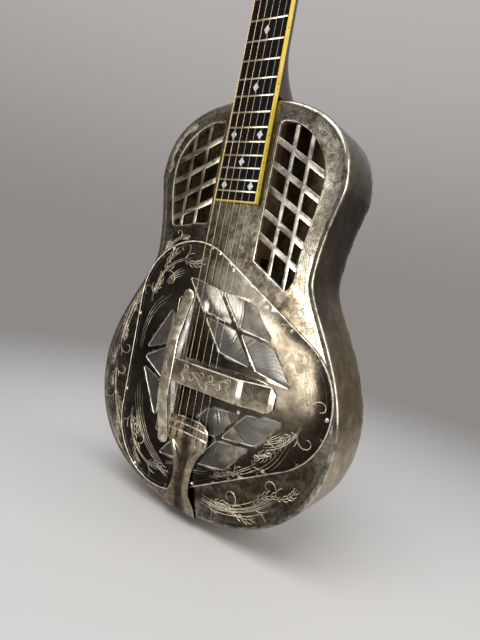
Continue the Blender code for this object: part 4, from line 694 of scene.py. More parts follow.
def aged_metal(name, dark, tan, rubbed, rubbing=0.5, cloud=11.0, rough=(0.22, 0.42), brush=None,
               brush_strength=0.3,
               edge=BRIGHT_EDGE, edge_reach=0.05, dents=0.25, shade_from=None, mottle=1.0):
    """Patina, brush lines and bright edges in one metal."""
    mat, tree, shader, place = start_material(name, 1.0)
    skin = grouped(tree, PATINA, Vector=place, Dark=dark, Tan=tan, Rubbed=rubbed, Cloud_Scale=cloud,
                   Rubbing=rubbing, Roughness_Low=rough[0], Roughness_High=rough[1], Mottle=mottle)
    colour, roughness, height = skin.outputs
    if shade_from:
        colour = shade_from(tree, place, colour)
    if brush:
        lines = grouped(tree, GRAIN, Vector=stretched(tree, place, brush), Strength=brush_strength)
        colour = tinted(tree, colour, lines.outputs["Shade"])
        height = maths(tree, "MULTIPLY_ADD", lines.outputs["Height"], 0.03, height)
    worn = grouped(tree, EDGES, Vector=place, Reach=edge_reach)
    colour = blend_colours(tree, worn.outputs["Mask"], colour, edge)
    give(tree, shader, Base_Color=colour, Roughness=roughness)
    bumped(tree, shader, height, dents, 1.0 * MM)
    return mat


# Materials


def clouded(tree, place, value, scale, low, high, reach):
    """A value whose border is broken up by clouds."""
    cloud = spread(tree, noise(tree, place, scale, 4, 0.6), low, high, -reach, reach)
    return maths(tree, "ADD", value, cloud)


def painted_light_across(tree, place, colour, axis, low, high, least, most, tint=(1, 1, 1)):
    """Painted light and shade that change slowly across the piece, with a cloudy border between its two
    tones.
    """
    share = spread(tree, clouded(tree, place, axes(tree, place)[axis], 9.0, 0.25, 0.75, 0.04), low, high)
    deep, light = (tuple(level * t for t in tint) for level in (least, most))
    return tinted(tree, colour, blend_colours(tree, share, deep, light))


def painted_low_corner_shade(tree, place, colour, first, last, least):
    """Painted shade on the lower treble side, deepest towards its lowest corner."""
    x, _, z = axes(tree, place)
    way = clouded(tree, place, maths(tree, "MULTIPLY_ADD", z, -0.9, x), 12.0, 0.25, 0.75, 0.02)
    deep = (least, least * 0.95, least * 0.87)
    return tinted(tree, colour, blend_colours(tree, spread(tree, way, first, last), (1, 1, 1), deep))


def painted_tail_light_and_shade(tree, place, colour):
    """Painted shade along the tailpiece's middle, between its raised arms, and painted highlight on both
    arms.
    """
    share = spread(tree, maths(tree, "ABSOLUTE", axes(tree, place)[0]), 0.003, 0.011)
    return tinted(tree, colour, blend_colours(tree, share, (0.42, 0.40, 0.36), (2.0, 1.95, 1.85)))


def painted_cover_light_and_shade(tree, place, colour):
    """Painted shade on the cover: nearly black on its bass side, lighter to the treble, darker towards its
    bottom and its lower treble corner; painted light lifts its upper part.
    """
    colour = painted_light_across(tree, place, colour, 0, -0.11, 0.13, 0.34, 1.0)
    colour = painted_light_across(tree, place, colour, 2, 0.20, 0.28, 1.0, 2.1)
    colour = painted_light_across(tree, place, colour, 2, 0.05, 0.17, 0.62, 1.0)
    return painted_low_corner_shade(tree, place, colour, -0.05, 0.03, 0.42)


def painted_side_light_and_shade(tree, place, colour):
    """Painted light and shade along the sides' height: darker and browner above the waist, much lighter round
    the lower bout.
    """
    return painted_light_across(tree, place, colour, 2, 0.38, 0.10, 0.34, 2.3, (1.06, 0.95, 0.79))


def top_patina_and_painted_light(tree, place, colour):
    """The top is cleaner along its rim and stained all over; painted shade darkens it towards the bass side,
    the bottom and the lower treble corner, and painted light lifts its upper bout.
    """
    # Painted light and shade: lighter on the upper bout, darker to the bass side and towards the bottom.
    colour = painted_light_across(tree, place, colour, 2, 0.22, 0.44, 0.72, 1.2)
    colour = painted_light_across(tree, place, colour, 0, -0.13, 0.06, 0.82, 1.1)
    colour = painted_light_across(tree, place, colour, 2, 0.02, 0.20, 0.74, 1.0)
    rim = node(tree, "ShaderNodeAttribute", attribute_name="rim").outputs["Fac"]
    clean = spread(tree, clouded(tree, place, rim, 24.0, 0.3, 0.7, 0.012), 0.004, 0.03, 0.8, 0.0)
    colour = blend_colours(tree, clean, colour, (0.26, 0.245, 0.21))
    stains = spread(tree, noise(tree, place, 105.0, 6, 0.74, 1.1), 0.44, 0.60)
    colour = tinted(tree, colour, blend_colours(tree, stains, (1.22, 1.22, 1.22), (0.52, 0.49, 0.44)))
    flecks = spread(tree, noise(tree, place, 260.0, 6, 0.74, 0.6), 0.50, 0.60, 0.0, 0.55)
    colour = blend_colours(tree, flecks, colour, (0.035, 0.029, 0.021))
    return painted_low_corner_shade(tree, place, colour, 0.0, 0.08, 0.36)


def make_shell_materials():
    # The top's dark tones are partly patina and partly painted shade, in place of the dark room the metal
    # would reflect.
    top = aged_metal(
        "old_silver_top", (0.104, 0.087, 0.064), (0.184, 0.155, 0.114), (0.262, 0.232, 0.184), 0.5, 12.0,
        (0.14, 0.20), (900, 900, 90), 0.16, SHEET_EDGE, 0.035, 0.22, top_patina_and_painted_light)
    side = aged_metal(
        "old_silver_side", (0.12, 0.101, 0.064), (0.25, 0.216, 0.146), (0.35, 0.312, 0.228), 0.45, 7.0,
        (0.20, 0.30), (90, 700, 90), 0.45, dents=0.2, shade_from=painted_side_light_and_shade, mottle=0.7)
    # Painted light: the back is the shell's metal made lighter, in place of the light it lacks.
    back = aged_metal(
        "old_silver_back", (0.20, 0.168, 0.120), (0.33, 0.285, 0.21), (0.44, 0.39, 0.305), 0.45, 8.0,
        (0.16, 0.24), (900, 900, 90), 0.16, SHEET_EDGE, 0.035, 0.2, mottle=0.3)
    # The cover's near-black tones are likewise partly patina and partly painted shade.
    cover = aged_metal(
        "old_silver_cover", (0.058, 0.048, 0.036), (0.102, 0.087, 0.065), (0.155, 0.137, 0.110), 0.4, 14.0,
        (0.13, 0.18), (800, 800, 120), 0.15, SHEET_EDGE, 0.03, 0.18, painted_cover_light_and_shade, 0.7)
    return top, side, back, cover


def make_metal_materials():
    along_x, even, fine = (60, 900, 900), (700, 700, 700), (500, 500, 500)
    rest = aged_metal(
        "warm_silver", (0.34, 0.290, 0.215), (0.50, 0.435, 0.33), (0.64, 0.57, 0.45), 0.45, 16.0,
        (0.07, 0.14), along_x, 0.12, FITTING_EDGE, dents=0.12)
    lattice = aged_metal(
        "lattice_silver", (0.13, 0.117, 0.094), (0.21, 0.19, 0.155), (0.32, 0.295, 0.25), 0.4, 26.0,
        (0.20, 0.28), even, 0.25, FITTING_EDGE, dents=0.15)
    # Painted shade: the bass grille's lattice is the treble lattice's metal made darker.
    bass_lattice_shade = aged_metal(
        "dark_lattice_silver", (0.045, 0.038, 0.028), (0.090, 0.077, 0.056), (0.155, 0.136, 0.103), 0.4,
        30.0, (0.26, 0.36), even, 0.25, (0.45, 0.40, 0.31), dents=0.15)
    inside = aged_metal(
        "inside_of_the_shell", (0.20, 0.158, 0.095), (0.40, 0.315, 0.185), (0.52, 0.43, 0.28), 0.3, 10.0,
        (0.5, 0.7), dents=0.2)
    relief = aged_metal(
        "cut_line_silver", (0.24, 0.205, 0.15), (0.46, 0.40, 0.30), (0.68, 0.61, 0.49), 0.6, 20.0,
        (0.34, 0.48), edge=(0.85, 0.78, 0.66), edge_reach=0.3, dents=0.05)
    # Painted light: the strap is the bar's own metal made lighter.
    strap = aged_metal(
        "strap_silver", (0.52, 0.45, 0.34), (0.74, 0.66, 0.52), (0.88, 0.81, 0.68), 0.45, 16.0, (0.12, 0.22),
        along_x, 0.12, (0.95, 0.9, 0.8), dents=0.12)
    tail = aged_metal(
        "tail_silver", (0.13, 0.108, 0.078), (0.23, 0.196, 0.145), (0.38, 0.335, 0.26), 0.5, 18.0,
        (0.10, 0.18), along_x, 0.12, (0.95, 0.89, 0.76), 0.3, 0.12, painted_tail_light_and_shade)
    # Painted highlight: a light, dull copy of the shell metal for rolled lips and edges, in place of the
    # light they catch.
    edge_highlight = aged_metal(
        "polished_edge", (0.70, 0.65, 0.55), (0.84, 0.79, 0.69), (0.93, 0.89, 0.80), 0.6, 40.0, (0.40, 0.54),
        edge=(0.95, 0.92, 0.84), edge_reach=0.3, dents=0.05)
    nickel = aged_metal(
        "tuner_nickel", (0.30, 0.29, 0.26), (0.52, 0.50, 0.45), (0.70, 0.68, 0.63), 0.5, 60.0, (0.16, 0.34),
        fine, 0.2, dents=0.1)
    fret = aged_metal(
        "fret_metal", (0.52, 0.42, 0.24), (0.68, 0.56, 0.34), (0.82, 0.72, 0.50), 0.6, 120.0, (0.16, 0.30),
        dents=0.03)
    screw = aged_metal(
        "screw_nickel", (0.45, 0.42, 0.36), (0.62, 0.58, 0.50), (0.78, 0.74, 0.66), 0.5, 150.0, (0.16, 0.30),
        dents=0.05)
    return rest, strap, tail, lattice, bass_lattice_shade, inside, relief, edge_highlight, nickel, fret, screw


def make_cone_material(name, x, z, colour=(0.86, 0.83, 0.76)):
    """Spun aluminium with turning marks round the cone's own axis, which draw its gloss out into a fan."""
    mat, tree, shader, place = start_material(name, 1.0, Anisotropic=0.75)
    turned_way = node(tree, "ShaderNodeTangent", direction_type="RADIAL", axis="Y").outputs[0]
    centred = node(tree, "ShaderNodeMapping", {"Vector": place, "Location": (-x, 0, -z)}).outputs[0]
    mask, height = grouped(tree, RINGS, Vector=centred, Pitch=RING_PITCH).outputs
    dull = spread(tree, noise(tree, place, 40.0, 5, 0.6), 0.35, 0.7, 0.55, 1.0)
    tint = tinted(tree, blend_colours(tree, mask, (0.93, 0.93, 0.93), (1, 1, 1)), colour)
    give(tree, shader, Tangent=turned_way, Base_Color=tinted(tree, tint, dull),
         Roughness=spread(tree, mask, 0, 1, 0.31, 0.27))
    bumped(tree, shader, height, 0.05, 0.2 * MM)
    return mat


def make_cast_material():
    """Sand cast aluminium of the bridge, its sides filed bright."""
    mat, tree, shader, place = start_material("cast_aluminium", 1.0)
    dull = spread(tree, noise(tree, place, 60.0, 5, 0.6), 0.35, 0.68)
    colour = blend_colours(tree, dull, (0.50, 0.48, 0.44), (0.80, 0.78, 0.73))
    worn = grouped(tree, EDGES, Vector=place, Reach=0.1)
    colour = blend_colours(tree, worn.outputs["Mask"], colour, (0.92, 0.9, 0.86))
    give(tree, shader, Base_Color=colour, Roughness=spread(tree, dull, 0, 1, 0.36, 0.2))
    bumped(tree, shader, noise(tree, place, 700.0, 3, 0.6), 0.25, 0.2 * MM)
    return mat


def make_gauze_material():
    """Dull grey gauze, partly open, so that the cones glimmer through."""
    mat, tree, shader, place = start_material("dull_gauze", 0.35)
    cover, height = grouped(tree, WEAVE, Vector=place, Pitch=0.0006).outputs
    dust = spread(tree, noise(tree, place, 38.0, 5, 0.65), 0.35, 0.75)
    colour = blend_colours(tree, dust, (0.10, 0.094, 0.083), (0.175, 0.163, 0.142))
    # Painted shade: the gaps between the wires are drawn nearly black and partly opaque.
    colour = blend_colours(tree, cover, (0.05, 0.048, 0.044), colour)
    give(tree, shader, Base_Color=colour, Alpha=spread(tree, cover, 0, 1, 0.30, 0.66),
         Roughness=spread(tree, dust, 0, 1, 0.36, 0.5))
    bumped(tree, shader, height, 0.12, 0.1 * MM)
    return mat


def make_wood(name, early, late, rough, fineness=1.0, coat=0.0, bump=0.2, shine=0.5):
    mat, tree, shader, place = start_material(name, 0.0, Coat_Weight=coat, Coat_Roughness=0.18,
                                              Specular_IOR_Level=shine)
    colour, height = grouped(tree, WOOD, Vector=place, Early=early, Late=late, Fineness=fineness).outputs
    handled = noise(tree, place, 22.0, 4, 0.6)
    give(tree, shader, Base_Color=colour, Roughness=spread(tree, handled, 0.3, 0.7, *rough))
    bumped(tree, shader, height, bump, 0.15 * MM)
    return mat


def make_ivoroid():
    """Yellowed celluloid with the fine layered grain of imitation ivory."""
    mat, tree, shader, place = start_material("yellow_ivoroid", 0.0, Coat_Weight=0.3, Coat_Roughness=0.2)
    layers = noise(tree, stretched(tree, place, (3200, 500, 14)), 1.0, 3, 0.5, 0.6)
    stain = noise(tree, place, 34.0, 5, 0.65)
    colour = blend_colours(tree, spread(tree, layers, 0.35, 0.65), (0.90, 0.62, 0.06), (0.98, 0.76, 0.13))
    colour = blend_colours(tree, spread(tree, stain, 0.5, 0.75, 0.0, 0.5), colour, (0.66, 0.38, 0.03))
    give(tree, shader, Base_Color=colour, Roughness=spread(tree, stain, 0.3, 0.7, 0.3, 0.48))
    bumped(tree, shader, layers, 0.08, 0.1 * MM)
    return mat


def make_bone():
    mat, tree, shader, place = start_material("old_bone", 0.0, Subsurface_Weight=0.06,
                                              Subsurface_Radius=(2.0 * MM, 1.5 * MM, 1.0 * MM))
    streaks = noise(tree, stretched(tree, place, (500, 1500, 1500)), 1.0, 3, 0.6)
    colour = blend_colours(tree, spread(tree, streaks, 0.35, 0.7), (0.72, 0.63, 0.45), (0.84, 0.78, 0.64))
    give(tree, shader, Base_Color=colour, Roughness=spread(tree, streaks, 0.3, 0.7, 0.3, 0.45))
    bumped(tree, shader, streaks, 0.06, 0.1 * MM)
    return mat


def make_pearl(name, one, other, scale, rough=0.16):
    """Shell or pearl celluloid: flakes that turn from one tint to another."""
    mat, tree, shader, place = start_material(name, 0.0, Coat_Weight=0.6, Coat_Roughness=0.08)
    flakes = noise(tree, place, scale, 2, 0.4, 2.5)
    veil = noise(tree, place, scale * 2.3, 3, 0.5, 1.0)
    colour = blend_colours(tree, spread(tree, flakes, 0.38, 0.62), one, other)
    colour = blend_colours(tree, spread(tree, veil, 0.5, 0.8, 0.0, 0.5), colour, (0.95, 0.95, 0.93))
    give(tree, shader, Base_Color=colour, Roughness=spread(tree, veil, 0.3, 0.7, rough, rough + 0.16))
    bumped(tree, shader, flakes, 0.05, 0.1 * MM)
    return mat


def make_string_material(name, colour, dark, winding):
    """Wire whose windings, if any, run round it: the piece's own 'along' attribute counts millimetres."""
    mat, tree, shader, place = start_material(name, 1.0)
    stain = noise(tree, stretched(tree, place, (60, 60, 60)), 1.0, 4, 0.6)
    tone = blend_colours(tree, spread(tree, stain, 0.35, 0.7), colour, dark)
    if winding:
        along = node(tree, "ShaderNodeAttribute", attribute_name="along").outputs["Fac"]
        wave = maths(tree, "ABSOLUTE",
                     maths(tree, "SINE", maths(tree, "MULTIPLY", along, math.pi / winding)))
        tone = blend_colours(tree, spread(tree, wave, 0.0, 0.5), (0.12, 0.08, 0.04), tone)
        bumped(tree, shader, wave, 0.8, 0.12 * MM)
    else:
        bumped(tree, shader, stain, 0.05, 0.05 * MM)
    give(tree, shader, Base_Color=tone, Roughness=spread(tree, stain, 0.3, 0.7, 0.22, 0.36))
    return mat


TOP_METAL, SIDE_METAL, BACK_METAL_PAINTED_LIGHT, COVER_METAL = make_shell_materials()
(REST_METAL, STRAP_PAINTED_LIGHT, TAIL_METAL, LATTICE_METAL, BASS_LATTICE_PAINTED_SHADE, INSIDE_METAL, RELIEF_METAL, PAINTED_EDGE_HIGHLIGHT,
 NICKEL, FRET_METAL, SCREW_METAL) = make_metal_materials()
CAST_METAL, GAUZE = make_cast_material(), make_gauze_material()
NECK_WOOD = make_wood("dark_neck_wood", (0.050, 0.020, 0.011), (0.018, 0.007, 0.004), (0.26, 0.42), 1.0, 0.5)
MAPLE = make_wood("bare_maple", (0.52, 0.34, 0.18), (0.36, 0.21, 0.10), (0.55, 0.7), 0.8)
EBONY = make_wood("ebony", (0.012, 0.010, 0.009), (0.005, 0.004, 0.004), (0.48, 0.62), 1.3, 0.0, 0.12, 0.05)
IVOROID, BONE = make_ivoroid(), make_bone()
SHELL_PEARL = make_pearl("shell_pearl", (0.86, 0.88, 0.84), (0.72, 0.80, 0.82), 320.0)
BUTTON_PEARL = make_pearl("cream_button", (0.84, 0.78, 0.62), (0.66, 0.58, 0.42), 130.0, 0.2)
BRONZE = make_string_material("bronze_winding", (0.66, 0.52, 0.34), (0.42, 0.31, 0.19), 0.5)
STEEL = make_string_material("plain_steel", (0.68, 0.66, 0.62), (0.48, 0.46, 0.42), 0)


# Body shell


def rolled_shell(bm, depth_of, steps=7):
    """Outer and inner skin of a sheet with a rolled edge, joined at its rim. Returns the two inner rings."""
    rings = []
    for wall, turns in ((SHOULDER, range(steps + 1)), (SHOULDER - SHEET, range(steps, -1, -1))):
        for k in turns:
            angle = math.pi / 2 * k / steps
            inset, depth = SHOULDER - wall * math.cos(angle), SHOULDER - wall * math.sin(angle)
            rings.append(ring(bm, at_depth(offset(RIM, inset), depth_of(depth))))
    for i, first in enumerate(rings):
        if i != steps:
            bridge(bm, first, rings[(i + 1) % len(rings)])
    return rings[steps], rings[steps + 1]


def lay_crown(bm):
    """Let the sheet fall away towards the rim, the rolled edge with it."""
    verts = bm.verts[:]
    away = rim_distance([(v.co.x, v.co.z) for v in verts])
    share = np.clip(1 - np.maximum(away, SHOULDER) / CROWN_RUN, 0, 1)
    for vert, part in zip(verts, share):
        vert.co.y += CROWN_DROP * part ** 2 * max(0.0, 1 - vert.co.y / SHOULDER)


def note_rim(mesh):
    """Keep each point's distance from the rim for the material."""
    layer = mesh.attributes.new("rim", "FLOAT", "POINT")
    layer.data.foreach_set("value",
                           rim_distance([(v.co.x, v.co.z) for v in mesh.vertices]).astype(np.float32))


def give_faces(mesh, index, chosen):
    """Give some faces, such as those that look into the body, their own metal."""
    for face in mesh.polygons:
        if chosen(face):
            face.material_index = index


def centres(mesh):
    return [(face.center.x, face.center.z) for face in mesh.polygons]


def make_top():
    bm = bmesh.new()
    face, under = rolled_shell(bm, lambda depth: depth)
    holes = [edged_hole(bm, outline, 0, SHEET, LIP_DEPTH) for outline in (treble_opening(), bass_opening())]
    holes.append([ring(bm, at_depth(cover_outline(8 * MM), y)) for y in (0, SHEET)])
    bridge(bm, *holes[-1])
    fill(bm, [face] + [outer for outer, _ in holes])
    fill(bm, [under] + [inner for _, inner in holes])
    slice_up(bm, 5 * MM, (-LOWER_HALF, 0), (LOWER_HALF, BODY_LENGTH))
    lay_crown(bm)
    mesh = to_mesh(bm, "top_plate")
    note_rim(mesh)
    give_faces(mesh, 1, lambda face: face.normal.y > 0.5)
    rims = rim_distance(centres(mesh))
    # The walls of the openings get the painted highlight metal.
    give_faces(mesh, 2, lambda face: -0.93 < face.normal.y < 0.3 and rims[face.index] > 9 * MM)
    finish_piece("top_plate", mesh, [TOP_METAL, INSIDE_METAL, PAINTED_EDGE_HIGHLIGHT], ["body_top"])


def make_back():
    bm = bmesh.new()
    for skin in rolled_shell(bm, lambda depth: BODY_DEPTH - depth):
        fill(bm, [skin])
    slice_up(bm, 8 * MM, (-LOWER_HALF, 0), (LOWER_HALF, BODY_LENGTH))
    mesh = to_mesh(bm, "back_plate")
    note_rim(mesh)
    give_faces(mesh, 1, lambda face: face.normal.y < -0.5)
    finish_piece("back_plate", mesh, [BACK_METAL_PAINTED_LIGHT, INSIDE_METAL], ["body_back"])


def make_sides():
    """The ribbon, with the small step where top and back are soldered over it."""
    front, back = SHOULDER + GAP, BODY_DEPTH - SHOULDER - GAP
    tuck, bands = 0.35 * MM, 7
    rows = [(tuck, front - 0.2 * MM), (tuck * 0.6, front + 0.8 * MM), (0, front + 1.6 * MM)]
    rows += [(0, front + (back - front) * k / bands) for k in range(1, bands)]
    rows += [(0, back - 1.6 * MM), (tuck * 0.6, back - 0.8 * MM), (tuck, back + 0.2 * MM)]
    rows += [(SHEET, back), (SHEET, front)]
    bm = bmesh.new()
    band(bm, [ring(bm, at_depth(offset(RIM, inset), y)) for inset, y in rows], closed=True)
    mesh = to_mesh(bm, "side_ribbon")
    middle = Vector((0, 0, 270 * MM))
    give_faces(mesh, 1,
               lambda face: face.normal.dot(face.center - Vector((0, face.center.y, 0)) - middle) < -1e-3)
    finish_piece("side_ribbon", mesh, [SIDE_METAL, INSIDE_METAL], ["body_sides"])


# Cover and what lies under it


def cover_inset(places):
    """How far inside the cover's outline each (x, z) place is."""
    places = np.atleast_2d(np.array(places, float))
    corners = np.array([(x, z) for _, x, z in cone_axes()])
    away, outside = np.full(len(places), 1.0), np.zeros(len(places), bool)
    for start, end in zip(corners, np.roll(corners, -1, axis=0)):
        ahead, part = end - start, places - start
        share = np.clip(part @ ahead / (ahead @ ahead), 0, 1)
        away = np.minimum(away, np.linalg.norm(part - share[:, None] * ahead, axis=1))
        outside |= ahead[0] * part[:, 1] - ahead[1] * part[:, 0] < 0
    return COVER_CORNER - np.where(outside, away, -away)


def cover_rise(places):
    """Height of the domed cover over the top plate at each place."""
    share = np.clip(cover_inset(places) / COVER_DOME_RUN, 0, 1)
    return COVER_EDGE + (COVER_HEIGHT - COVER_EDGE) * (1 - (1 - share) ** 2)


def lay_dome(bm, least=0.0):
    """Sink what was made at the cover's full height on to its dome."""
    places = [(v.co.x, v.co.z) for v in bm.verts]
    for vert, rise, inset in zip(bm.verts[:], cover_rise(places), cover_inset(places)):
        if inset > least:
            vert.co.y += COVER_HEIGHT - rise


def make_cover():
    """Domed sheet with a turned lip round each pane and the bridge's slot; its thin edge and the pane lips
    carry the painted highlight.
    """
    bm = bmesh.new()
    face, below = -COVER_HEIGHT, COVER_SHEET - COVER_HEIGHT
    edge = [(0.0, 0.0), (-0.25, -0.2), (-0.3, -1.2), (-0.1, -1.6), (0.3, -1.72)]
    edge = [(inset * MM, y * MM) for inset, y in edge] + [(1.0 * MM, face)]
    rings = [ring(bm, at_depth(cover_outline(inset), y)) for inset, y in edge]
    under = [ring(bm, at_depth(cover_outline(inset), y))
             for inset, y in ((1.6 * MM, below), (0.6 * MM, -0.1 * MM))]
    band(bm, rings)
    band(bm, under + rings[:1])
    holes = [edged_hole(bm, pane, face, below, face + PANE_LIP + 0.4 * MM, COVER_SHEET, 0.7 * MM)
             for pane in pane_outlines()]
    holes.append(edged_hole(bm, slot_outline(), face, below, below + 0.1 * MM, COVER_SHEET * 0.2, 0.35 * MM))
    fill(bm, [rings[-1]] + [outer for outer, _ in holes])
    fill(bm, [under[0]] + [inner for _, inner in holes])
    slice_up(bm, 5 * MM, *box_of(cover_outline(-1 * MM)))
    lay_dome(bm, 0.8 * MM)
    mesh = to_mesh(bm, "windowed_cover")
    insets = cover_inset(centres(mesh))
    # Sloping lip faces and the outer edge get the painted highlight metal.
    give_faces(mesh, 1, lambda face: -0.9 < face.normal.y < 0.4 or insets[face.index] < 0.6 * MM)
    finish_piece("windowed_cover", mesh, [COVER_METAL, PAINTED_EDGE_HIGHLIGHT], ["coverplate"], angle=38)


def make_screens():
    """Gauze sheets, a little sunk in each pane, as two skins would double the weave."""
    middle = -COVER_HEIGHT + PANE_LIP + GAP + 0.15 * MM
    margin = 1.6 * MM
    left, right = FAN_TIP_X - margin, FAN_CUT_X + margin
    tall = 2 * BAR + (FAN_CUT_X - FAN_TIP_X) * math.tan(math.radians(60)) + margin
    fan = [(left, -2 * BAR), (right, -tall), (right, tall), (left, 2 * BAR)]
    field = from_centre(field_corners(margin))
    for name, outline in (("upper", field), ("lower", mirrored(field)), ("left", from_centre(fan))):
        bm = bmesh.new()
        fill(bm, [ring(bm, at_depth(outline, middle))])
        slice_up(bm, 8 * MM, *box_of(outline))
        lay_dome(bm)
        mesh = front_mesh(bm, f"gauze_{name}")
        finish_piece(f"gauze_{name}", mesh, GAUZE, [f"cover_screen_{name}"])


def make_cones(steps=60):
    """Spun cones with their pressed rings."""
    rim = CONE_RADIUS - CONE_RIM
    shares, heights = zip((0.0, 1.0), (0.11, 1.0), (0.16, 0.93), (0.45, 0.60), (0.76, 0.30), (1.0, 0.048))
    front = []
    for share in [k / steps for k in range(steps + 1)]:
        ridge = RING_HEIGHT * math.sin(share * rim / RING_PITCH * 2 * math.pi) if share > shares[2] else 0
        front.append((rim * share, CONE_HEIGHT * float(np.interp(share, shares, heights)) + ridge))
    back = [(CONE_RADIUS, 0), (rim, 0)] + [(r, h - CONE_SHEET) for r, h in reversed(front[2::4])]
    back.append((0, CONE_HEIGHT - 0.8 * MM))
    front += [(rim + 0.8 * MM, 0.6 * MM), (CONE_RADIUS - 0.3 * MM, 0.6 * MM), (CONE_RADIUS, 0.3 * MM)]
    for name, x, z in cone_axes():
        bm = bmesh.new()
        turned(bm, front + back, 72,
               Matrix.Translation((x, CONE_BASE, z)) @ Matrix.Rotation(math.pi / 2, 4, "X"))
        finish_piece(f"spun_{name}", bm, make_cone_material(f"spun_{name}", x, z), [name], angle=50)


def freeze(obj):
    """Mesh that a helper object's modifiers make. The helper itself goes."""
    bpy.context.view_layer.update()
    graph = bpy.context.evaluated_depsgraph_get()
    mesh = bpy.data.meshes.new_from_object(obj.evaluated_get(graph))
    name, old = obj.name, obj.data
    bpy.data.objects.remove(obj)
    bpy.data.meshes.remove(old)
    mesh.name = name
    return mesh


def frozen_mesh(bm, name, width, segments=2, angle=35):
    """Mesh of a hard piece with rounded edges."""
    obj = linked(name, to_mesh(bm, name))
    modifier = obj.modifiers.new("soft_edges", "BEVEL")
    modifier.width, modifier.segments = width, segments
    modifier.limit_method, modifier.angle_limit = "ANGLE", math.radians(angle)
    modifier.harden_normals = False
    return freeze(obj)


def make_bridge():
    """Cast T bridge: a humped arm with an arched foot and a stem to the treble cone."""
    foot = CONE_BASE - CONE_HEIGHT - GAP
    arch, seat, end_top = foot - 3 * MM, BRIDGE_SEAT, foot - 4 * MM
    arm_half = CONE_REACH * math.sin(math.radians(60)) + 8 * MM
    arm_x, end_x = -CONE_REACH / 2, CONE_REACH + 8 * MM
    upper = [(-arm_half, end_top), (-arm_half * 0.6, end_top - 2.2 * MM), (-26 * MM, seat + 1.6 * MM),
             (-14 * MM, seat)]
    upper = smooth_line(upper + [(-z, y) for z, y in reversed(upper)], 5)
    lower = smooth_line([(arm_half - 20 * MM, foot - 1 * MM), (14 * MM, arch), (-14 * MM, arch),
                         (20 * MM - arm_half, foot - 1 * MM)], 4)
    side = upper + [(arm_half, foot), (arm_half - 16 * MM, foot)] + lower
    side += [(16 * MM - arm_half, foot), (-arm_half, foot)]
    arm = loft([[(arm_x + 6 * MM * s, y, AXIS_Z + z) for z, y in side] for s in (-1, 1)])
    side = [(arm_x, seat)] + smooth_line([(SADDLE_HALF + 2 * MM, seat),
                                          (SADDLE_HALF + 14 * MM, seat + 1.4 * MM),
                                          (end_x - 18 * MM, end_top - 0.6 * MM), (end_x, end_top)], 5)
    side += [(end_x, foot), (end_x - 16 * MM, foot), (end_x - 22 * MM, foot - 1.2 * MM), (SADDLE_HALF, arch),
             (arm_x, arch)]
    stem = loft([[(x, y, AXIS_Z + 5.5 * MM * s) for x, y in side] for s in (-1, 1)])
    for name, bm in (("bridge_arm", arm), ("bridge_stem", stem)):
        finish_piece(name, frozen_mesh(bm, name, 0.7 * MM), CAST_METAL, ["t_bridge"])


def make_saddle():
    """Maple saddle with a slightly crowned top."""
    high, half = BRIDGE_SEAT - GAP, SADDLE_THICK / 2
    top = [(x / 20 * SADDLE_HALF, 0.5 * MM * (abs(x) / 20) ** 2 - SADDLE_HEIGHT) for x in range(-20, 21, 2)]
    outline = top + [(SADDLE_HALF, high), (-SADDLE_HALF, high)]
    bm = loft([[(x, y, SADDLE_Z + s) for x, y in outline] for s in (-half, half)])
    finish_piece("maple_saddle", frozen_mesh(bm, "maple_saddle", 0.5 * MM), MAPLE, ["saddle"])


# Handrest, grilles and tailpiece


def refined(node_name, name, width):
    """The CAD solid's own shape with its edges rounded."""
    bm = bmesh.new()
    bm.from_mesh(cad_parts[node_name].data)
    bmesh.ops.remove_doubles(bm, verts=bm.verts, dist=2e-6)
    bmesh.ops.dissolve_limit(bm, angle_limit=math.radians(2), verts=bm.verts, edges=bm.edges)
    return frozen_mesh(bm, name, width, 2, 30)


def ahead_at(path, i):
    """Direction of a path at one of its points."""
    return (path[min(i + 1, len(path) - 1)] - path[max(i - 1, 0)]).normalized()


def join_skins(bm, top, low):
    """Faces of two grids of points that lie over each other, and the four narrow edges between them."""
    strips = [pair for rows in (top, low) for pair in zip(rows, rows[1:])]
    for edge_of in (lambda g: g[0], lambda g: g[-1], lambda g: [r[0] for r in g],
                    lambda g: [r[-1] for r in g]):
        strips.append((edge_of(top), edge_of(low)))
    for first, second in strips:
        for k in range(len(first) - 1):
            bm.faces.new((first[k], first[k + 1], second[k + 1], second[k]))


def pressed_strip(path, halves, across, thick, edge=0.5 * MM):
    """Sheet strip along a path, its long edges rolled over a little."""
    shares = [(-1, edge), (-0.985, edge * 0.45), (-0.94, edge * 0.1), (-0.86, 0), (-0.5, -0.12 * MM),
              (0, -0.18 * MM)]
    shares += [(-u, d) for u, d in reversed(shares[:-1])]
    bm = bmesh.new()
    skins = []
    for depth in (0, thick):
        rows = []
        for i, (here, half) in enumerate(zip(path, halves)):
            out = ahead_at(path, i).cross(across)
            out = -out if out.y > 0 else out
            rows.append(ring(bm, [here + across * (u * half) - out * (d + depth) for u, d in shares]))
        skins.append(rows)
    join_skins(bm, *skins)
    return bm


def spaced(points, pitch):
    """Points at an even pitch along a line, its ends kept."""
    points = [Vector(p) for p in points]
    lengths = [0.0]
    for first, second in zip(points, points[1:]):
        lengths.append(lengths[-1] + (second - first).length)
    count = max(2, int(lengths[-1] / pitch))
    out, i = [], 0
    for k in range(count + 1):
        want = lengths[-1] * k / count
        while i < len(points) - 2 and lengths[i + 1] < want:
            i += 1
        share = (want - lengths[i]) / max(lengths[i + 1] - lengths[i], 1e-12)
        out.append(points[i].lerp(points[i + 1], min(max(share, 0), 1)))
    return out


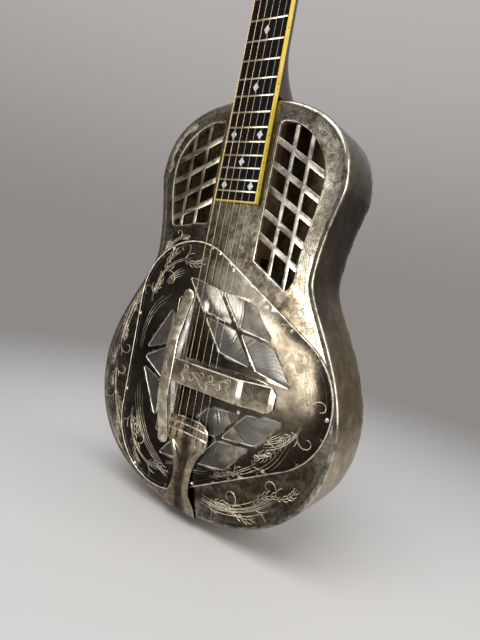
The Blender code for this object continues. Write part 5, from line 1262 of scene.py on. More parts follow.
def rounded_halves(path, half, end, run):
    """Half widths along a path, closed to a round end over a run at its start, its finish or both."""
    total = sum((b - a).length for a, b in zip(path, path[1:]))
    done, halves = 0.0, []
    for i, here in enumerate(path):
        done += (here - path[i - 1]).length if i else 0
        near = min(done if "start" in end else total, total - done if "finish" in end else total)
        share = min(near / run, 1.0)
        halves.append(half * max(math.sqrt(max(1 - (1 - share) ** 2, 0)), 0.12))
    return halves


REST_FOOT, REST_PITCH = COVER_HEIGHT + GAP + REST_SHEET, 2.2 * MM


def make_handrest():
    """Bent strap over the bass strings, and a crossbar from it to the treble side."""
    half_line = [
        (0, STRAP_TOP), (STRAP_FLAT - 5 * MM, STRAP_TOP), (STRAP_FLAT + 3 * MM, STRAP_TOP - 0.45 * MM),
        (STRAP_FLAT + 10 * MM, STRAP_TOP - 2.2 * MM), (STRAP_FOOT - 9 * MM, REST_FOOT + 2.6 * MM),
        (STRAP_FOOT - 3 * MM, REST_FOOT + 0.7 * MM), (STRAP_FOOT + 1 * MM, REST_FOOT),
        (STRAP_END, REST_FOOT)]
    line = [(-d, h) for d, h in reversed(half_line)] + half_line[1:]
    path = spaced([(STRAP_X, -h, AXIS_Z + d) for d, h in smooth_line(line, 6)], REST_PITCH)
    halves = rounded_halves(path, STRAP_WIDTH / 2, "start finish", STRAP_WIDTH / 2.2)
    strap = pressed_strip(path, halves, Vector((1, 0, 0)), REST_SHEET)
    finish_piece("handrest_strap", strap, STRAP_PAINTED_LIGHT, ["handrest"], angle=50)
    line = [(STRAP_X + 2 * MM, BAR_TOP), (BAR_BEND_X - 16 * MM, BAR_TOP),
            (BAR_BEND_X - 8 * MM, BAR_TOP - 0.3 * MM),
            (BAR_BEND_X - 1 * MM, BAR_TOP - 1.6 * MM), (BAR_BEND_X + 3 * MM, BAR_TOP - 3.4 * MM),
            (BAR_FOOT_X - 5 * MM, REST_FOOT + 2.2 * MM), (BAR_FOOT_X - 1 * MM, REST_FOOT + 0.4 * MM),
            (BAR_FOOT_X + 2 * MM, REST_FOOT), (BAR_END_X, REST_FOOT)]
    path = spaced([(x, -h, AXIS_Z) for x, h in smooth_line(line, 6)], REST_PITCH)
    halves = [max(half, BAR_WIDTH / 3.4)
              for half in rounded_halves(path, BAR_WIDTH / 2, "finish", BAR_WIDTH / 4)]
    bar = pressed_strip(path, halves, Vector((0, 0, 1)), REST_SHEET, 0.7 * MM)
    finish_piece("handrest_bar", bar, REST_METAL, ["handrest"], angle=50)


def make_grilles():
    for side, mat in (("treble", LATTICE_METAL), ("bass", BASS_LATTICE_PAINTED_SHADE)):
        mesh = refined(f"grille_{side}", f"lattice_{side}", 0.45 * MM)
        finish_piece(f"lattice_{side}", mesh, mat, [f"grille_{side}"])


def tail_stations():
    """Side path of the tailpiece's underside as (z, y), half width, crown and inner ridge, without units."""
    side, low, high = -GAP / MM, (COVER_HEIGHT + 2 * GAP) / MM, (TAIL_HEAD_HEIGHT - TAIL_SHEET) / MM
    pin, bend = PIN_Y / MM, SHOULDER / MM
    rows = [
        (side, pin + 9, 9, 0, 0.5), (side, pin + 4, 16, 0, 0.5), (side, pin - 6, 22, 0, 0.5),
        (side, bend + 4, 25, 0, 0.5), (side + 0.1, bend, 25.5, 0.1, 0.5), (1.2, 1.0, 25.5, 0.3, 0.5),
        (4.5, -0.4, 25.5, 0.6, 0.52), (12, -1.6, 22.5, 1.4, 0.55), (19, -4.2, 19, 2.0, 0.58),
        (27, -low, 15.6, 2.4, 0.52), (36, -low, 13.5, 2.6, 0.3), (45, -low, 13.3, 2.6, 0.22),
        (54, -low - 0.3, 14.2, 2.6, 0.3), (65, -low - 0.9, 17, 2.6, 0.42), (75, -low - 1.8, 21, 2.4, 0.55),
        (83, -high + 0.8, 26, 1.2, 0.66), (88, -high, 30, 0.2, 0.7), (100, -high, 30.5, 0, 0.7),
        (108, -high, 29.5, 0, 0.7), (113.5, -high + 0.2, 25, 0, 0.7), (117, -high + 0.9, 16, 0, 0.7),
    ]
    rows = [(z * MM, y * MM, half * MM, crown * MM, ridge) for z, y, half, crown, ridge in rows]
    return smooth_line(rows, 5)


def arm_rise(x, half, crown, ridge):
    """Height of the pressed arms over the middle recess."""
    inner, away, ramp = half * ridge, abs(x), 1.6 * MM
    if away <= inner - ramp:
        return 0.0
    if away <= inner:
        share = (away - inner + ramp) / ramp
        return crown * 0.8 * (3 * share ** 2 - 2 * share ** 3)
    share = (away - inner) / max(half - inner, 1e-6)
    return crown * (0.8 + 0.35 * math.sin(math.pi * min(share * 1.1, 1)) - 0.9 * share ** 6)


def make_tailpiece(columns=40):
    stations = tail_stations()
    path = [Vector(station[:2]) for station in stations]
    bm = bmesh.new()
    skins = []
    for thick in (TAIL_SHEET, 0.0):
        rows = []
        for i, (_, _, half, crown, ridge) in enumerate(stations):
            ahead = ahead_at(path, i)
            out = Vector((ahead.y, -ahead.x))
            row = []
            for share in [2 * k / columns - 1 for k in range(columns + 1)]:
                edge = 0.5 * MM * max(0, abs(share) - 0.94) / 0.06 if thick else 0
                z, y = path[i] + out * (max(arm_rise(half * share, half, crown, ridge), 0) + thick - edge)
                row.append((half * share, y, z))
            rows.append(ring(bm, row))
        skins.append(rows)
    join_skins(bm, *skins)
    tools = bmesh.new()
    for k in range(len(STRING_GAUGES)):
        matrix = Matrix.Translation((string_places(k)[0], -TAIL_HEAD_HEIGHT, TAIL_SLOT_Z))
        matrix @= Matrix.Diagonal((TAIL_SLOT_WIDTH, 8 * MM, 8 * MM, 1))
        bmesh.ops.create_cube(tools, size=1.0, matrix=matrix)
    mesh = cut_from(bm, "tailpiece_shell", tools)
    finish_piece("tailpiece_shell", mesh, TAIL_METAL, ["tailpiece"], angle=45)
    bm = bmesh.new()
    for z, half in ((TAIL_RIDGE_LOW, 29.0 * MM), (TAIL_RIDGE_HIGH + 0.5 * MM, 27.0 * MM)):
        line = [(half * share, 0.9 * MM * abs(share) ** 6 - 0.25 * MM - TAIL_HEAD_HEIGHT,
                 z - 1.6 * MM * abs(share) ** 3) for share in [k / 10 for k in range(-10, 11)]]
        tube(bm, line, 1.25 * MM, 10)
    finish_piece("tailpiece_ridges", bm, REST_METAL, ["tailpiece"], angle=60)


def cut_from(bm, name, tools):
    """Mesh of a piece with tool solids cut out of it."""
    obj, tool = linked(name, to_mesh(bm, name)), linked("cutter", to_mesh(tools, "cutter"))
    modifier = obj.modifiers.new("cut", "BOOLEAN")
    modifier.object, modifier.solver = tool, "EXACT"
    mesh = freeze(obj)
    bpy.data.objects.remove(tool)
    return mesh


def make_strap_button():
    """Turned pin and button that hold the tailpiece, seen on the tail end."""
    seat, end = -(2 * GAP + TAIL_SHEET), 11.0 * MM
    pin, wide = 3.5 * MM, 7.0 * MM
    profile = [(0, 18 * MM), (pin - 0.4 * MM, 18 * MM), (pin, 17.5 * MM), (pin, seat),
               (wide - 0.4 * MM, seat)]
    curve = ((7.0, 0.5), (6.8, 1.3), (5.1, 2.6), (4.1, 4.2), (4.0, 5.8), (4.7, 7.6), (6.7, 9.2), (7.0, 9.9),
             (6.5, 10.6))
    profile += [(radius * MM, seat - down * MM) for radius, down in curve]
    profile += [(pin, seat - end), (0, seat - end)]
    bm = bmesh.new()
    turned(bm, profile, 40, Matrix.Translation((0, PIN_Y, 0)))
    finish_piece("turned_button", bm, NICKEL, ["strap_button"], angle=50)


# Nodes that repeat or follow


def geometry_tree(name, inputs):
    """Empty geometry tree with named number inputs. Returns its tree, input and output nodes."""
    tree = bpy.data.node_groups.new(name, "GeometryNodeTree")
    tree.interface.new_socket("Geometry", in_out="INPUT", socket_type="NodeSocketGeometry")
    for label, kind in inputs:
        tree.interface.new_socket(label, in_out="INPUT", socket_type=f"NodeSocket{kind}")
    tree.interface.new_socket("Geometry", in_out="OUTPUT", socket_type="NodeSocketGeometry")
    return tree, node(tree, "NodeGroupInput"), node(tree, "NodeGroupOutput")


def finish_tree(tree, outlet, instances, mat):
    real = node(tree, "GeometryNodeRealizeInstances", {0: instances})
    dressed = node(tree, "GeometryNodeSetMaterial", {"Geometry": real.outputs[0], "Material": mat})
    tree.links.new(dressed.outputs[0], outlet.inputs[0])


def grow(name, tree, start_mesh, values):
    """Run a tree on a start mesh with its inputs set, and return the plain mesh with its material."""
    obj = linked(name, start_mesh)
    modifier = obj.modifiers.new("nodes", "NODES")
    modifier.node_group = tree
    keys = {item.name: item.identifier for item in tree.interface.items_tree if item.in_out == "INPUT"}
    for label, value in values.items():
        modifier[keys[label]] = value
    return freeze(obj)


def point_mesh(name, places, turn=(0, 0, 0)):
    """Bare points, each with the turn of what is set on it."""
    mesh = bpy.data.meshes.new(name)
    mesh.from_pydata([tuple(p) for p in places], [], [])
    layer = mesh.attributes.new("turn", "FLOAT_VECTOR", "POINT")
    for entry in layer.data:
        entry.vector = turn
    return mesh


def set_on_points(name, source_bm, places, mat, turn, spin=0.0, seed=3):
    """Copies of one small piece on points, all turned alike but for a little random spin of their own."""
    source = linked(f"{name}_source", to_mesh(source_bm, f"{name}_source"))
    tree, given, outlet = geometry_tree(f"{name}_on_points", [("Spin", "Float"), ("Seed", "Int")])
    points, most, start = given.outputs[:3]
    info = node(tree, "GeometryNodeObjectInfo", {"Object": source})
    way = node(tree, "GeometryNodeInputNamedAttribute", {"Name": "turn"}, data_type="FLOAT_VECTOR")
    drawn = node(tree, "FunctionNodeRandomValue",
                 {2: maths(tree, "MULTIPLY", most, -1.0), 3: most, 8: start},
                 data_type="FLOAT")
    base = node(tree, "FunctionNodeEulerToRotation", {0: way.outputs[0]})
    own = node(tree, "FunctionNodeEulerToRotation", {0: joined(tree, z=drawn.outputs[1])})
    whole = node(tree, "FunctionNodeRotateRotation", {0: base.outputs[0], 1: own.outputs[0]},
                 rotation_space="LOCAL")
    instances = node(tree, "GeometryNodeInstanceOnPoints", {
        "Points": points, "Instance": info.outputs["Geometry"], "Rotation": whole.outputs[0]})
    finish_tree(tree, outlet, instances.outputs[0], mat)
    mesh = grow(name, tree, point_mesh(f"{name}_points", places, turn), {"Spin": spin, "Seed": seed})
    bpy.data.objects.remove(source)
    finish_piece(name, mesh, [], angle=40)


def screw_head(radius, high, slot_width, steps=24):
    """Slotted round head, its axis along local Z, seated at z = 0. The slot is part of the mesh."""
    bm = bmesh.new()
    low = high * 0.45
    angles = [2 * math.pi * k / steps for k in range(steps)]
    made = []
    for share in (1.0, 0.97, 0.86, 0.66, 0.4):
        z = high * (1 - share ** 2.4) if share < 1 else -0.2 * MM
        loop = around((0, 0), radius * share, angles)
        made.append(ring(bm, [(x, y, min(z, low) if abs(y) < slot_width * 0.525 else z) for x, y in loop]))
    band(bm, made)
    centre = bm.verts.new((0, 0, low))
    last = made[-1]
    for k in range(steps):
        bm.faces.new((last[k], last[(k + 1) % steps], centre))
    bm.faces.new(list(reversed(made[0])))
    return bm


FRONT_TURN = (math.pi / 2, 0, 0)       # local +Z turned to face the viewer


def make_cover_screws():
    """Three screws along each arc of the cover."""
    places = []
    for k, (_, x, z) in enumerate(cone_axes()):
        for side in (-1, 0, 1):
            angle = math.radians(120 * k + 60 * side)
            out = direction(angle)
            along = Vector((-out.y, out.x))
            place = Vector((x, z)) + out * (COVER_CORNER - 4.6 * MM) + along * side * 24 * MM
            places.append((place.x, 0.05 * MM - cover_rise([place])[0], place.y))
    head = screw_head(2.5 * MM, 1.3 * MM, 0.9 * MM)
    set_on_points("cover_screws", head, places, SCREW_METAL, FRONT_TURN, math.pi)


def make_frets():
    """Crowned wires, each at its own place and width along the tapering board."""
    half_profile = [(-1.1, 0.0), (-1.05, 0.35), (-0.75, 0.72), (-0.35, 0.94)]
    profile = half_profile + [(0, 1.0)] + [(-z, h) for z, h in reversed(half_profile)]
    rings = [[(x, -h * FRET_HEIGHT * low, z * MM * (0.9 if low < 1 else 1)) for z, h in profile]
             for x, low in ((-1, 0.75), (-0.985, 1), (0.985, 1), (1, 0.75))]
    source = linked("fret_source", to_mesh(loft(rings), "fret_source"))
    tree, given, outlet = geometry_tree("frets_by_scale", [
        ("Scale Length", "Float"), ("Nut", "Float"), ("Half At Nut", "Float"), ("Half At Join", "Float"),
        ("Inset", "Float"), ("Board", "Float")])
    points, scale, nut, half_nut, half_join, inset, board = given.outputs[:7]
    number = maths(tree, "ADD", node(tree, "GeometryNodeInputIndex").outputs[0], 1.0)
    share = maths(tree, "POWER", 2.0, maths(tree, "DIVIDE", number, -12.0))
    down = maths(tree, "MULTIPLY", scale, maths(tree, "SUBTRACT", 1.0, share))
    taper = maths(tree, "DIVIDE", down, maths(tree, "MULTIPLY", scale, 0.5))
    wide = maths(tree, "SUBTRACT", half_join, half_nut)
    half = maths(tree, "SUBTRACT", maths(tree, "MULTIPLY_ADD", wide, taper, half_nut), inset)
    spot = joined(tree, 0.0, maths(tree, "MULTIPLY", board, -1.0), maths(tree, "SUBTRACT", nut, down))
    placed = node(tree, "GeometryNodeSetPosition", {"Geometry": points, "Position": spot})
    info = node(tree, "GeometryNodeObjectInfo", {"Object": source})
    kept = node(tree, "GeometryNodeCaptureAttribute", {"Geometry": placed.outputs[0]})
    kept.capture_items.new("FLOAT", "half")
    tree.links.new(half, kept.inputs["half"])
    instances = node(tree, "GeometryNodeInstanceOnPoints", {
        "Points": kept.outputs["Geometry"], "Instance": info.outputs["Geometry"],
        "Scale": joined(tree, kept.outputs["half"], 1.0, 1.0)})
    finish_tree(tree, outlet, instances.outputs[0], FRET_METAL)
    mesh = grow("frets", tree, point_mesh("fret_points", [(0, 0, 0)] * FRETS), {
        "Scale Length": SCALE, "Nut": NUT_Z, "Half At Nut": BOARD_NUT_HALF, "Half At Join": BOARD_JOIN_HALF,
        "Inset": BINDING + 0.1 * MM, "Board": BOARD_THICK + GAP})
    bpy.data.objects.remove(source)
    finish_piece("frets", mesh, [], angle=40)


# Board, nut and inlays


def make_board():
    """Ebony board and the ivoroid binding round three of its edges."""
    end, edge = fret_z(BOARD_PLACES), BINDING + 0.05 * MM
    half = board_half(end)
    top, under = -GAP - BOARD_THICK, -GAP
    outline = [(edge - half, end + edge), (half - edge, end + edge), (BOARD_NUT_HALF - edge, NUT_Z),
               (edge - BOARD_NUT_HALF, NUT_Z)]
    finish_piece("ebony_board", prism(outline, top, under), EBONY, ["fingerboard"])
    outer = [(-half, end), (half, end), (BOARD_NUT_HALF, NUT_Z)]
    inner = [(BOARD_NUT_HALF - BINDING, NUT_Z), (half - BINDING, end + BINDING)]
    outline = outer + inner + [(-x, z) for x, z in reversed(inner)] + [(-BOARD_NUT_HALF, NUT_Z)]
    mesh = frozen_mesh(prism(outline, top, under), "board_binding", 0.35 * MM, 3)
    finish_piece("board_binding", mesh, IVOROID, ["fingerboard_binding"])


def make_nut(steps=60):
    """Bone nut with a notch under each string."""
    line = [(-BOARD_NUT_HALF, -GAP), (BOARD_NUT_HALF, -GAP)]
    for share in [step / steps for step in range(steps, -steps - 1, -1)]:
        notch = 0.0
        for k, gauge in enumerate(STRING_GAUGES):
            away = abs(BOARD_NUT_HALF * share - string_places(k)[2]) / (gauge * 0.75)
            notch = max(notch, gauge * 0.45 * max(0.0, 1 - away ** 2))
        line.append((BOARD_NUT_HALF * share, -NUT_HEIGHT + 0.55 * MM * abs(share) ** 8 + notch - 0.25 * MM))
    bm = loft([[(x, y, z) for x, y in line] for z in (NUT_Z + GAP, NUT_Z + NUT_THICK - GAP)])
    finish_piece("bone_nut", frozen_mesh(bm, "bone_nut", 0.3 * MM, 2, 50), BONE, ["nut"])


def make_inlays():
    """Pearl diamonds flush with the board, and small dots on the binding's treble edge."""
    wide, tall, spread_out, dot_gap = 3.9 * MM, 5.0 * MM, 18.5 * MM, 3.0 * MM
    diamonds, dots = [], []
    for fret, sides, dot_sides in ((5, (0,), (0,)), (7, (0,), (0,)), (9, (0,), (0,)), (12, (0,), (-1, 1)),
                                   (15, (-1, 1), (0,)), (17, (0,), (0,)), (19, (-1, 1), (-1, 1))):
        middle = (fret_z(fret) + fret_z(fret - 1)) / 2
        x = spread_out * board_half(middle) / board_half(fret_z(FRETS))
        diamonds += [(side * x, -BOARD_THICK - GAP - 0.06 * MM, middle) for side in sides]
        dots += [(board_half(middle) + 0.02 * MM, -GAP - BOARD_THICK * 0.6, middle + side * dot_gap)
                 for side in dot_sides]
    outline = [(0, -tall), (wide, 0), (0, tall), (-wide, 0)]
    levels = ((1, -0.2 * MM), (1, 0.0), (0.96, 0.05 * MM))
    bm = loft([[(x * share, y * share, z) for x, y in outline] for share, z in levels])
    set_on_points("diamond_inlays", bm, diamonds, SHELL_PEARL, FRONT_TURN)
    bm = bmesh.new()
    turned(bm, [(0, 0.06 * MM), (0.8 * MM, 0.03 * MM), (0.95 * MM, -0.1 * MM), (0, -0.1 * MM)], 14)
    set_on_points("side_dots", bm, dots, EBONY, (0, math.pi / 2, 0))


# Neck and headstock


def heel_depth(z):
    run = (z - NECK_START - HEEL_FLAT) / (HEEL_RUN - HEEL_FLAT)
    shaft = NECK_THICK_NUT + (NECK_THICK_BODY - NECK_THICK_NUT) * (NUT_Z - z) / (NUT_Z - BODY_LENGTH)
    fade = 1 - min(max(run, 0.0), 1.0)
    return shaft + (HEEL_DEPTH + HEEL_CROWN - shaft) * fade ** 2.6


def neck_section(z, steps=32):
    """Half round section of the neck, fuller at the heel."""
    depth, half = heel_depth(z), board_half(z)
    slim = min(1.0, (depth - NECK_THICK_NUT) / (HEEL_DEPTH - NECK_THICK_NUT))
    points = []
    for angle in [math.pi * k / steps for k in range(1, steps)]:
        x = half * abs(math.cos(angle)) ** (0.9 + 0.3 * slim)
        y = depth * math.sin(angle) ** (0.85 + 0.1 * slim)
        points.append((math.copysign(x, math.cos(angle)), y, z))
    return [(half, 0, z)] + points + [(-half, 0, z)]


def head_matrix():
    return Matrix.Translation((0, 0, NUT_Z + NUT_THICK)) @ Matrix.Rotation(-HEAD_ANGLE, 4, "X")


def post_middle():
    return VENEER + GAP + HEAD_THICK / 2


def head_outline(start, steps=12):
    foot, half, top = BOARD_NUT_HALF, HEAD_HALF, HEAD_LENGTH
    right = [(foot - 1 * MM, start), (foot - 0.4 * MM, 1.5 * MM), (foot + 0.5 * MM, 6 * MM)]
    right += bezier((foot + 1 * MM, 9 * MM), (foot + 4 * MM, 17 * MM), (half, 16 * MM), (half, 24 * MM),
                    steps)
    right += [(half, 24 * MM), (half, top - 12 * MM)]
    right += bezier((half, top - 10 * MM), (half, top), (half * 0.5, top - 3 * MM), (0, top), steps)
    return right + [(0, top)] + [(-x, z) for x, z in reversed(right)]


def head_slot(side, grow=0.0):
    low, high = HEAD_RIB_WIDTH / 2 - grow, HEAD_RIB_WIDTH / 2 + HEAD_SLOT_WIDTH + grow
    x0, x1 = sorted((side * low, side * high))
    z0, z1 = POST_FIRST - HEAD_SLOT_PAST - grow, POST_FIRST + 2 * POST_SPACING + HEAD_SLOT_PAST + grow
    return rounded([(x0, z0), (x1, z0), (x1, z1), (x0, z1)], (x1 - x0) / 2.1, 10)


def slotted_plate(y0, y1, start, soft):
    """Headstock shape between two depths with both slots through it, edges softened."""
    bm = bmesh.new()
    rows = [(soft, y0), (soft * 0.3, y0 + soft * 0.3), (0, y0 + soft), (0, y1 - soft),
            (soft * 0.3, y1 - soft * 0.3), (soft, y1)]
    skins = [[ring(bm, at_depth(offset(head_outline(start), inset), y)) for inset, y in rows]]
    skins += [[ring(bm, at_depth(head_slot(side, inset), y)) for inset, y in rows] for side in (-1, 1)]
    for rings in skins:
        band(bm, rings)
    fill(bm, [rings[0] for rings in skins])
    fill(bm, [rings[-1] for rings in skins])
    return bm


def make_neck():
    """Heel and shaft of the neck, ending under the nut."""
    heel_end = NECK_START + HEEL_RUN
    levels = [NECK_START] + [NECK_START + HEEL_FLAT + (HEEL_RUN - HEEL_FLAT) * (k / 26) ** 1.15
                             for k in range(27)]
    levels += [heel_end + (NUT_Z - heel_end) * k / 8 for k in range(1, 9)] + [NUT_Z + NUT_THICK]
    flat = HEEL_DEPTH - HEEL_CAP - GAP
    bm = loft([[(x, min(y, flat), z) for x, y, z in neck_section(z)] for z in levels])
    finish_piece("neck_shaft", bm, NECK_WOOD, ["neck"], angle=40)


def make_headstock():
    """Slotted headstock with the posts' bores, and its veneer."""
    front, radius, mouth = VENEER + GAP, ROLLER_RADIUS + 0.25 * MM, HEAD_HALF + SHEET
    tools = bmesh.new()
    for side in (-1, 1):
        for place in range(3):
            turned(tools, [(0, POST_INNER - GAP), (radius, POST_INNER - GAP), (radius, mouth), (0, mouth)],
                   24, head_matrix().inverted() @ post_matrix(side, place))
    head = cut_from(slotted_plate(front, front + HEAD_THICK, -HEAD_ROOT, 1.0 * MM), "head", tools)
    bm = slotted_plate(0, VENEER, VENEER * math.tan(HEAD_ANGLE) + GAP, 0.25 * MM)
    for name, mesh, mat, slot, node_name in (
            ("slotted_headstock", head, NECK_WOOD, "neck_wood", "neck"),
            ("head_veneer", to_mesh(bm, "head_veneer"), EBONY, "ebony", "headstock_veneer")):
        mesh.transform(head_matrix())
        finish_piece(name, mesh, mat, [node_name], angle=40)


def make_heel_cap(steps=13):
    """Ivoroid cap under the heel, which follows the heel's own width."""
    depth, reach = HEEL_DEPTH - HEEL_CAP - GAP, HEEL_FLAT + 3.2 * MM
    right = []
    for z in [NECK_START + min(reach, reach * k / steps) for k in range(steps + 1)]:
        inside = [abs(x) for x, y, _ in neck_section(z, 240) if y >= depth]
        if inside:
            right.append((max(inside), z))
    outline = right + [(-x, z) for x, z in reversed(right)]
    mesh = frozen_mesh(prism(outline, depth + GAP, HEEL_DEPTH), "ivoroid_heel_cap", 0.4 * MM)
    finish_piece("ivoroid_heel_cap", mesh, IVOROID, ["heel_cap"])


# Tuners


def post_matrix(side, place):
    spot = Matrix.Translation((0, post_middle(), POST_FIRST + POST_SPACING * place))
    return head_matrix() @ spot @ Matrix.Rotation(side * math.pi / 2, 4, "Y")


def worm_matrix(side, place):
    spot = (side * GEAR_X, post_middle(), POST_FIRST + POST_SPACING * place - GEAR_DISTANCE)
    return head_matrix() @ Matrix.Translation(spot) @ Matrix.Rotation(-math.pi / 2, 4, "X")


def gear_outline():
    """Toothed wheel, each tooth from root to tip and back."""
    root, tip = GEAR_PITCH_RADIUS - TOOTH_ROOT, GEAR_PITCH_RADIUS + TOOTH_DEPTH
    tooth = ((root, -THREAD_ROOT_WIDTH), (tip, -THREAD_TIP_WIDTH), (tip, THREAD_TIP_WIDTH),
             (root, THREAD_ROOT_WIDTH))
    points = []
    for middle in [2 * math.pi * k / GEAR_TEETH for k in range(GEAR_TEETH)]:
        for radius, width in tooth:
            points += around((0, 0), radius, [middle + width / 2 / radius])
    return points


def worm_thread(steps=24):
    """One unbroken helical ridge on a core, ending in flat faces."""
    half = WORM_LENGTH / 2
    ridge = [(-THREAD_ROOT_WIDTH / 2, WORM_ROOT), (-THREAD_TIP_WIDTH / 2, WORM_CREST),
             (THREAD_TIP_WIDTH / 2, WORM_CREST), (THREAD_ROOT_WIDTH / 2, WORM_ROOT)]
    size = len(ridge)
    rows = size * (WORM_TURNS + 4)
    bm = bmesh.new()
    ends = {-1: [], 1: []}
    grid = []
    for i in range(steps):
        turn = i / steps
        spot = Vector((math.cos(2 * math.pi * turn), math.sin(2 * math.pi * turn), 0))
        for end, verts in ends.items():
            verts.append(bm.verts.new(spot * WORM_ROOT + Vector((0, 0, end * half))))
        column = []
        for j in range(rows):
            along_axis, radius = ridge[j % size]
            z = WORM_PITCH * (turn - 0.25 + j // size - WORM_TURNS // 2 - 2) + along_axis
            if abs(z) >= half:
                column.append(ends[1 if z > 0 else -1][i])
            else:
                column.append(bm.verts.new(spot * radius + Vector((0, 0, z))))
        grid.append(column)
    for i in range(steps):
        ahead, shift = (grid[i + 1], 0) if i + 1 < steps else (grid[0], size)
        for j in range(rows - 1 - shift):
            corners = [grid[i][j], ahead[j + shift], ahead[j + 1 + shift], grid[i][j + 1]]
            unique = list(dict.fromkeys(corners))
            if len(unique) > 2:
                bm.faces.new(unique)
    for verts in ends.values():
        bm.faces.new(verts)
    return bm


def make_post(side, label, place):
    """Roller with its shaft, toothed wheel and the screw that holds the wheel."""
    body, number = f"post_{label}_{place + 1}", f"{label}_{place + 1}"
    inner, outer = GEAR_X - GEAR_FACE / 2, GEAR_X + GEAR_FACE / 2
    end, middle, waist = outer + 1.4 * MM, HEAD_RIB_WIDTH / 2 + HEAD_SLOT_WIDTH / 2, 7.0 * MM
    r, slim, groove = ROLLER_RADIUS, SHAFT_RADIUS, 0.25 * MM
    roller, screw = bmesh.new(), screw_head(1.9 * MM, 0.7 * MM, 0.6 * MM)
    turned(roller, [
        (0, POST_INNER), (r - 0.4 * MM, POST_INNER), (r, POST_INNER + 0.4 * MM), (r, middle - waist),
        (r - groove, middle - 6.6 * MM), (r - groove, middle + 6.6 * MM), (r, middle + waist),
        (r, HEAD_HALF - 0.3 * MM), (r - 0.3 * MM, HEAD_HALF), (slim, HEAD_HALF), (slim, inner),
        (slim + 0.01 * MM, outer), (slim, outer + 1.0 * MM), (slim - 0.4 * MM, end), (0, end)], 32)
    gear = loft([[(x, y, z) for x, y in gear_outline()] for z in (inner, outer)])
    seat = Matrix.Translation((0, 0, end)) @ Matrix.Rotation(0.7 * place + side, 4, "Z")
    for name, mesh, mat, on_post, angle in (
            (f"roller_{number}", to_mesh(roller, f"roller_{number}"), NICKEL, Matrix(), 40),
            (f"gear_{number}", frozen_mesh(gear, f"gear_{number}", 0.12 * MM, 1, 25), FRET_METAL, Matrix(),
             30),
            (f"gear_screw_{number}", to_mesh(screw, f"gear_screw_{number}"), SCREW_METAL, seat, 40)):
        mesh.transform(post_matrix(side, place) @ on_post)
        finish_piece(name, mesh, mat, [body], body, angle)


def make_knob(side, label, place):
    """Steel worm shaft and a flattened pearl button, as one turning piece each."""
    body, number = f"knob_{label}_{place + 1}", f"{label}_{place + 1}"
    front, start, end = -EAR_OUTER, HEAD_THICK / 2 + BUTTON_GAP, HEAD_THICK / 2 + BUTTON_GAP + KNOB_LENGTH
    shaft, collar, low, high = WORM_SHAFT, WORM_SHAFT + 0.9 * MM, EAR_OUTER + 0.3 * MM, EAR_OUTER + 1.1 * MM
    worm, button = worm_thread(), bmesh.new()
    turned(worm, [(0, front), (shaft - 0.2 * MM, front), (shaft, front + 0.2 * MM), (shaft, start + 1 * MM),
                  (0, start + 1 * MM)], 20)
    turned(worm, [(shaft, low), (collar, low), (collar, high), (shaft, high)], 20)
    shares = ((0.34, 0), (0.36, 0.12), (0.62, 0.24), (0.9, 0.38), (1, 0.6), (0.88, 0.84), (0.5, 0.97),
              (0.12, 1))
    line = smooth_line([(KNOB_HALF * wide, KNOB_LENGTH * high) for wide, high in shares], 4)
    turned(button, [(0, start)] + [(r, start + z) for r, z in line] + [(0, end)], 36)
    for vert in button.verts:
        vert.co.y *= KNOB_FLAT
    for name, bm, mat, angle in ((f"worm_{number}", worm, NICKEL, 35),
                                 (f"button_{number}", button, BUTTON_PEARL, 50)):
        mesh = to_mesh(bm, name)
        mesh.transform(worm_matrix(side, place))
        finish_piece(name, mesh, mat, [body], body, angle)


def make_tuner_plate(side, label):
    """Plate with the bearing ears, and its three screws."""
    mesh = refined(f"tuner_plate_{label}", f"geared_plate_{label}", 0.25 * MM)
    finish_piece(f"geared_plate_{label}", mesh, NICKEL, [f"tuner_plate_{label}"], angle=35)
    x = side * (HEAD_HALF + GAP + PLATE_THICK)
    places = [head_matrix() @ Vector((x, post_middle(), POST_FIRST + along * MM))
              for along in (13.5, 48.5, 79.5)]
    turn = (head_matrix() @ Matrix.Rotation(side * math.pi / 2, 4, "Y")).to_euler()
    head = screw_head(2.1 * MM, 0.9 * MM, 0.7 * MM)
    set_on_points(f"plate_screws_{label}", head, places, SCREW_METAL, tuple(turn), math.pi,
                  5 + side)


# Strings


def string_mesh(name, path, radius, sides):
    """Wire along a path, each point knowing how many millimetres it is along."""
    bm = bmesh.new()
    tube(bm, path, radius, sides)
    mesh = to_mesh(bm, name)
    along, total = [], 0.0
    for i, here in enumerate(path):
        total += (Vector(here) - Vector(path[i - 1])).length / MM if i else 0
        along += [total] * sides
    layer = mesh.attributes.new("along", "FLOAT", "POINT")
    layer.data.foreach_set("value", np.array(along, np.float32))
    return mesh


def slot_turn_x(place):
    """Distance from the middle at which a string reaches its roller."""
    return HEAD_RIB_WIDTH / 2 + HEAD_SLOT_WIDTH / 2 + (1 - place) * 3.0 * MM


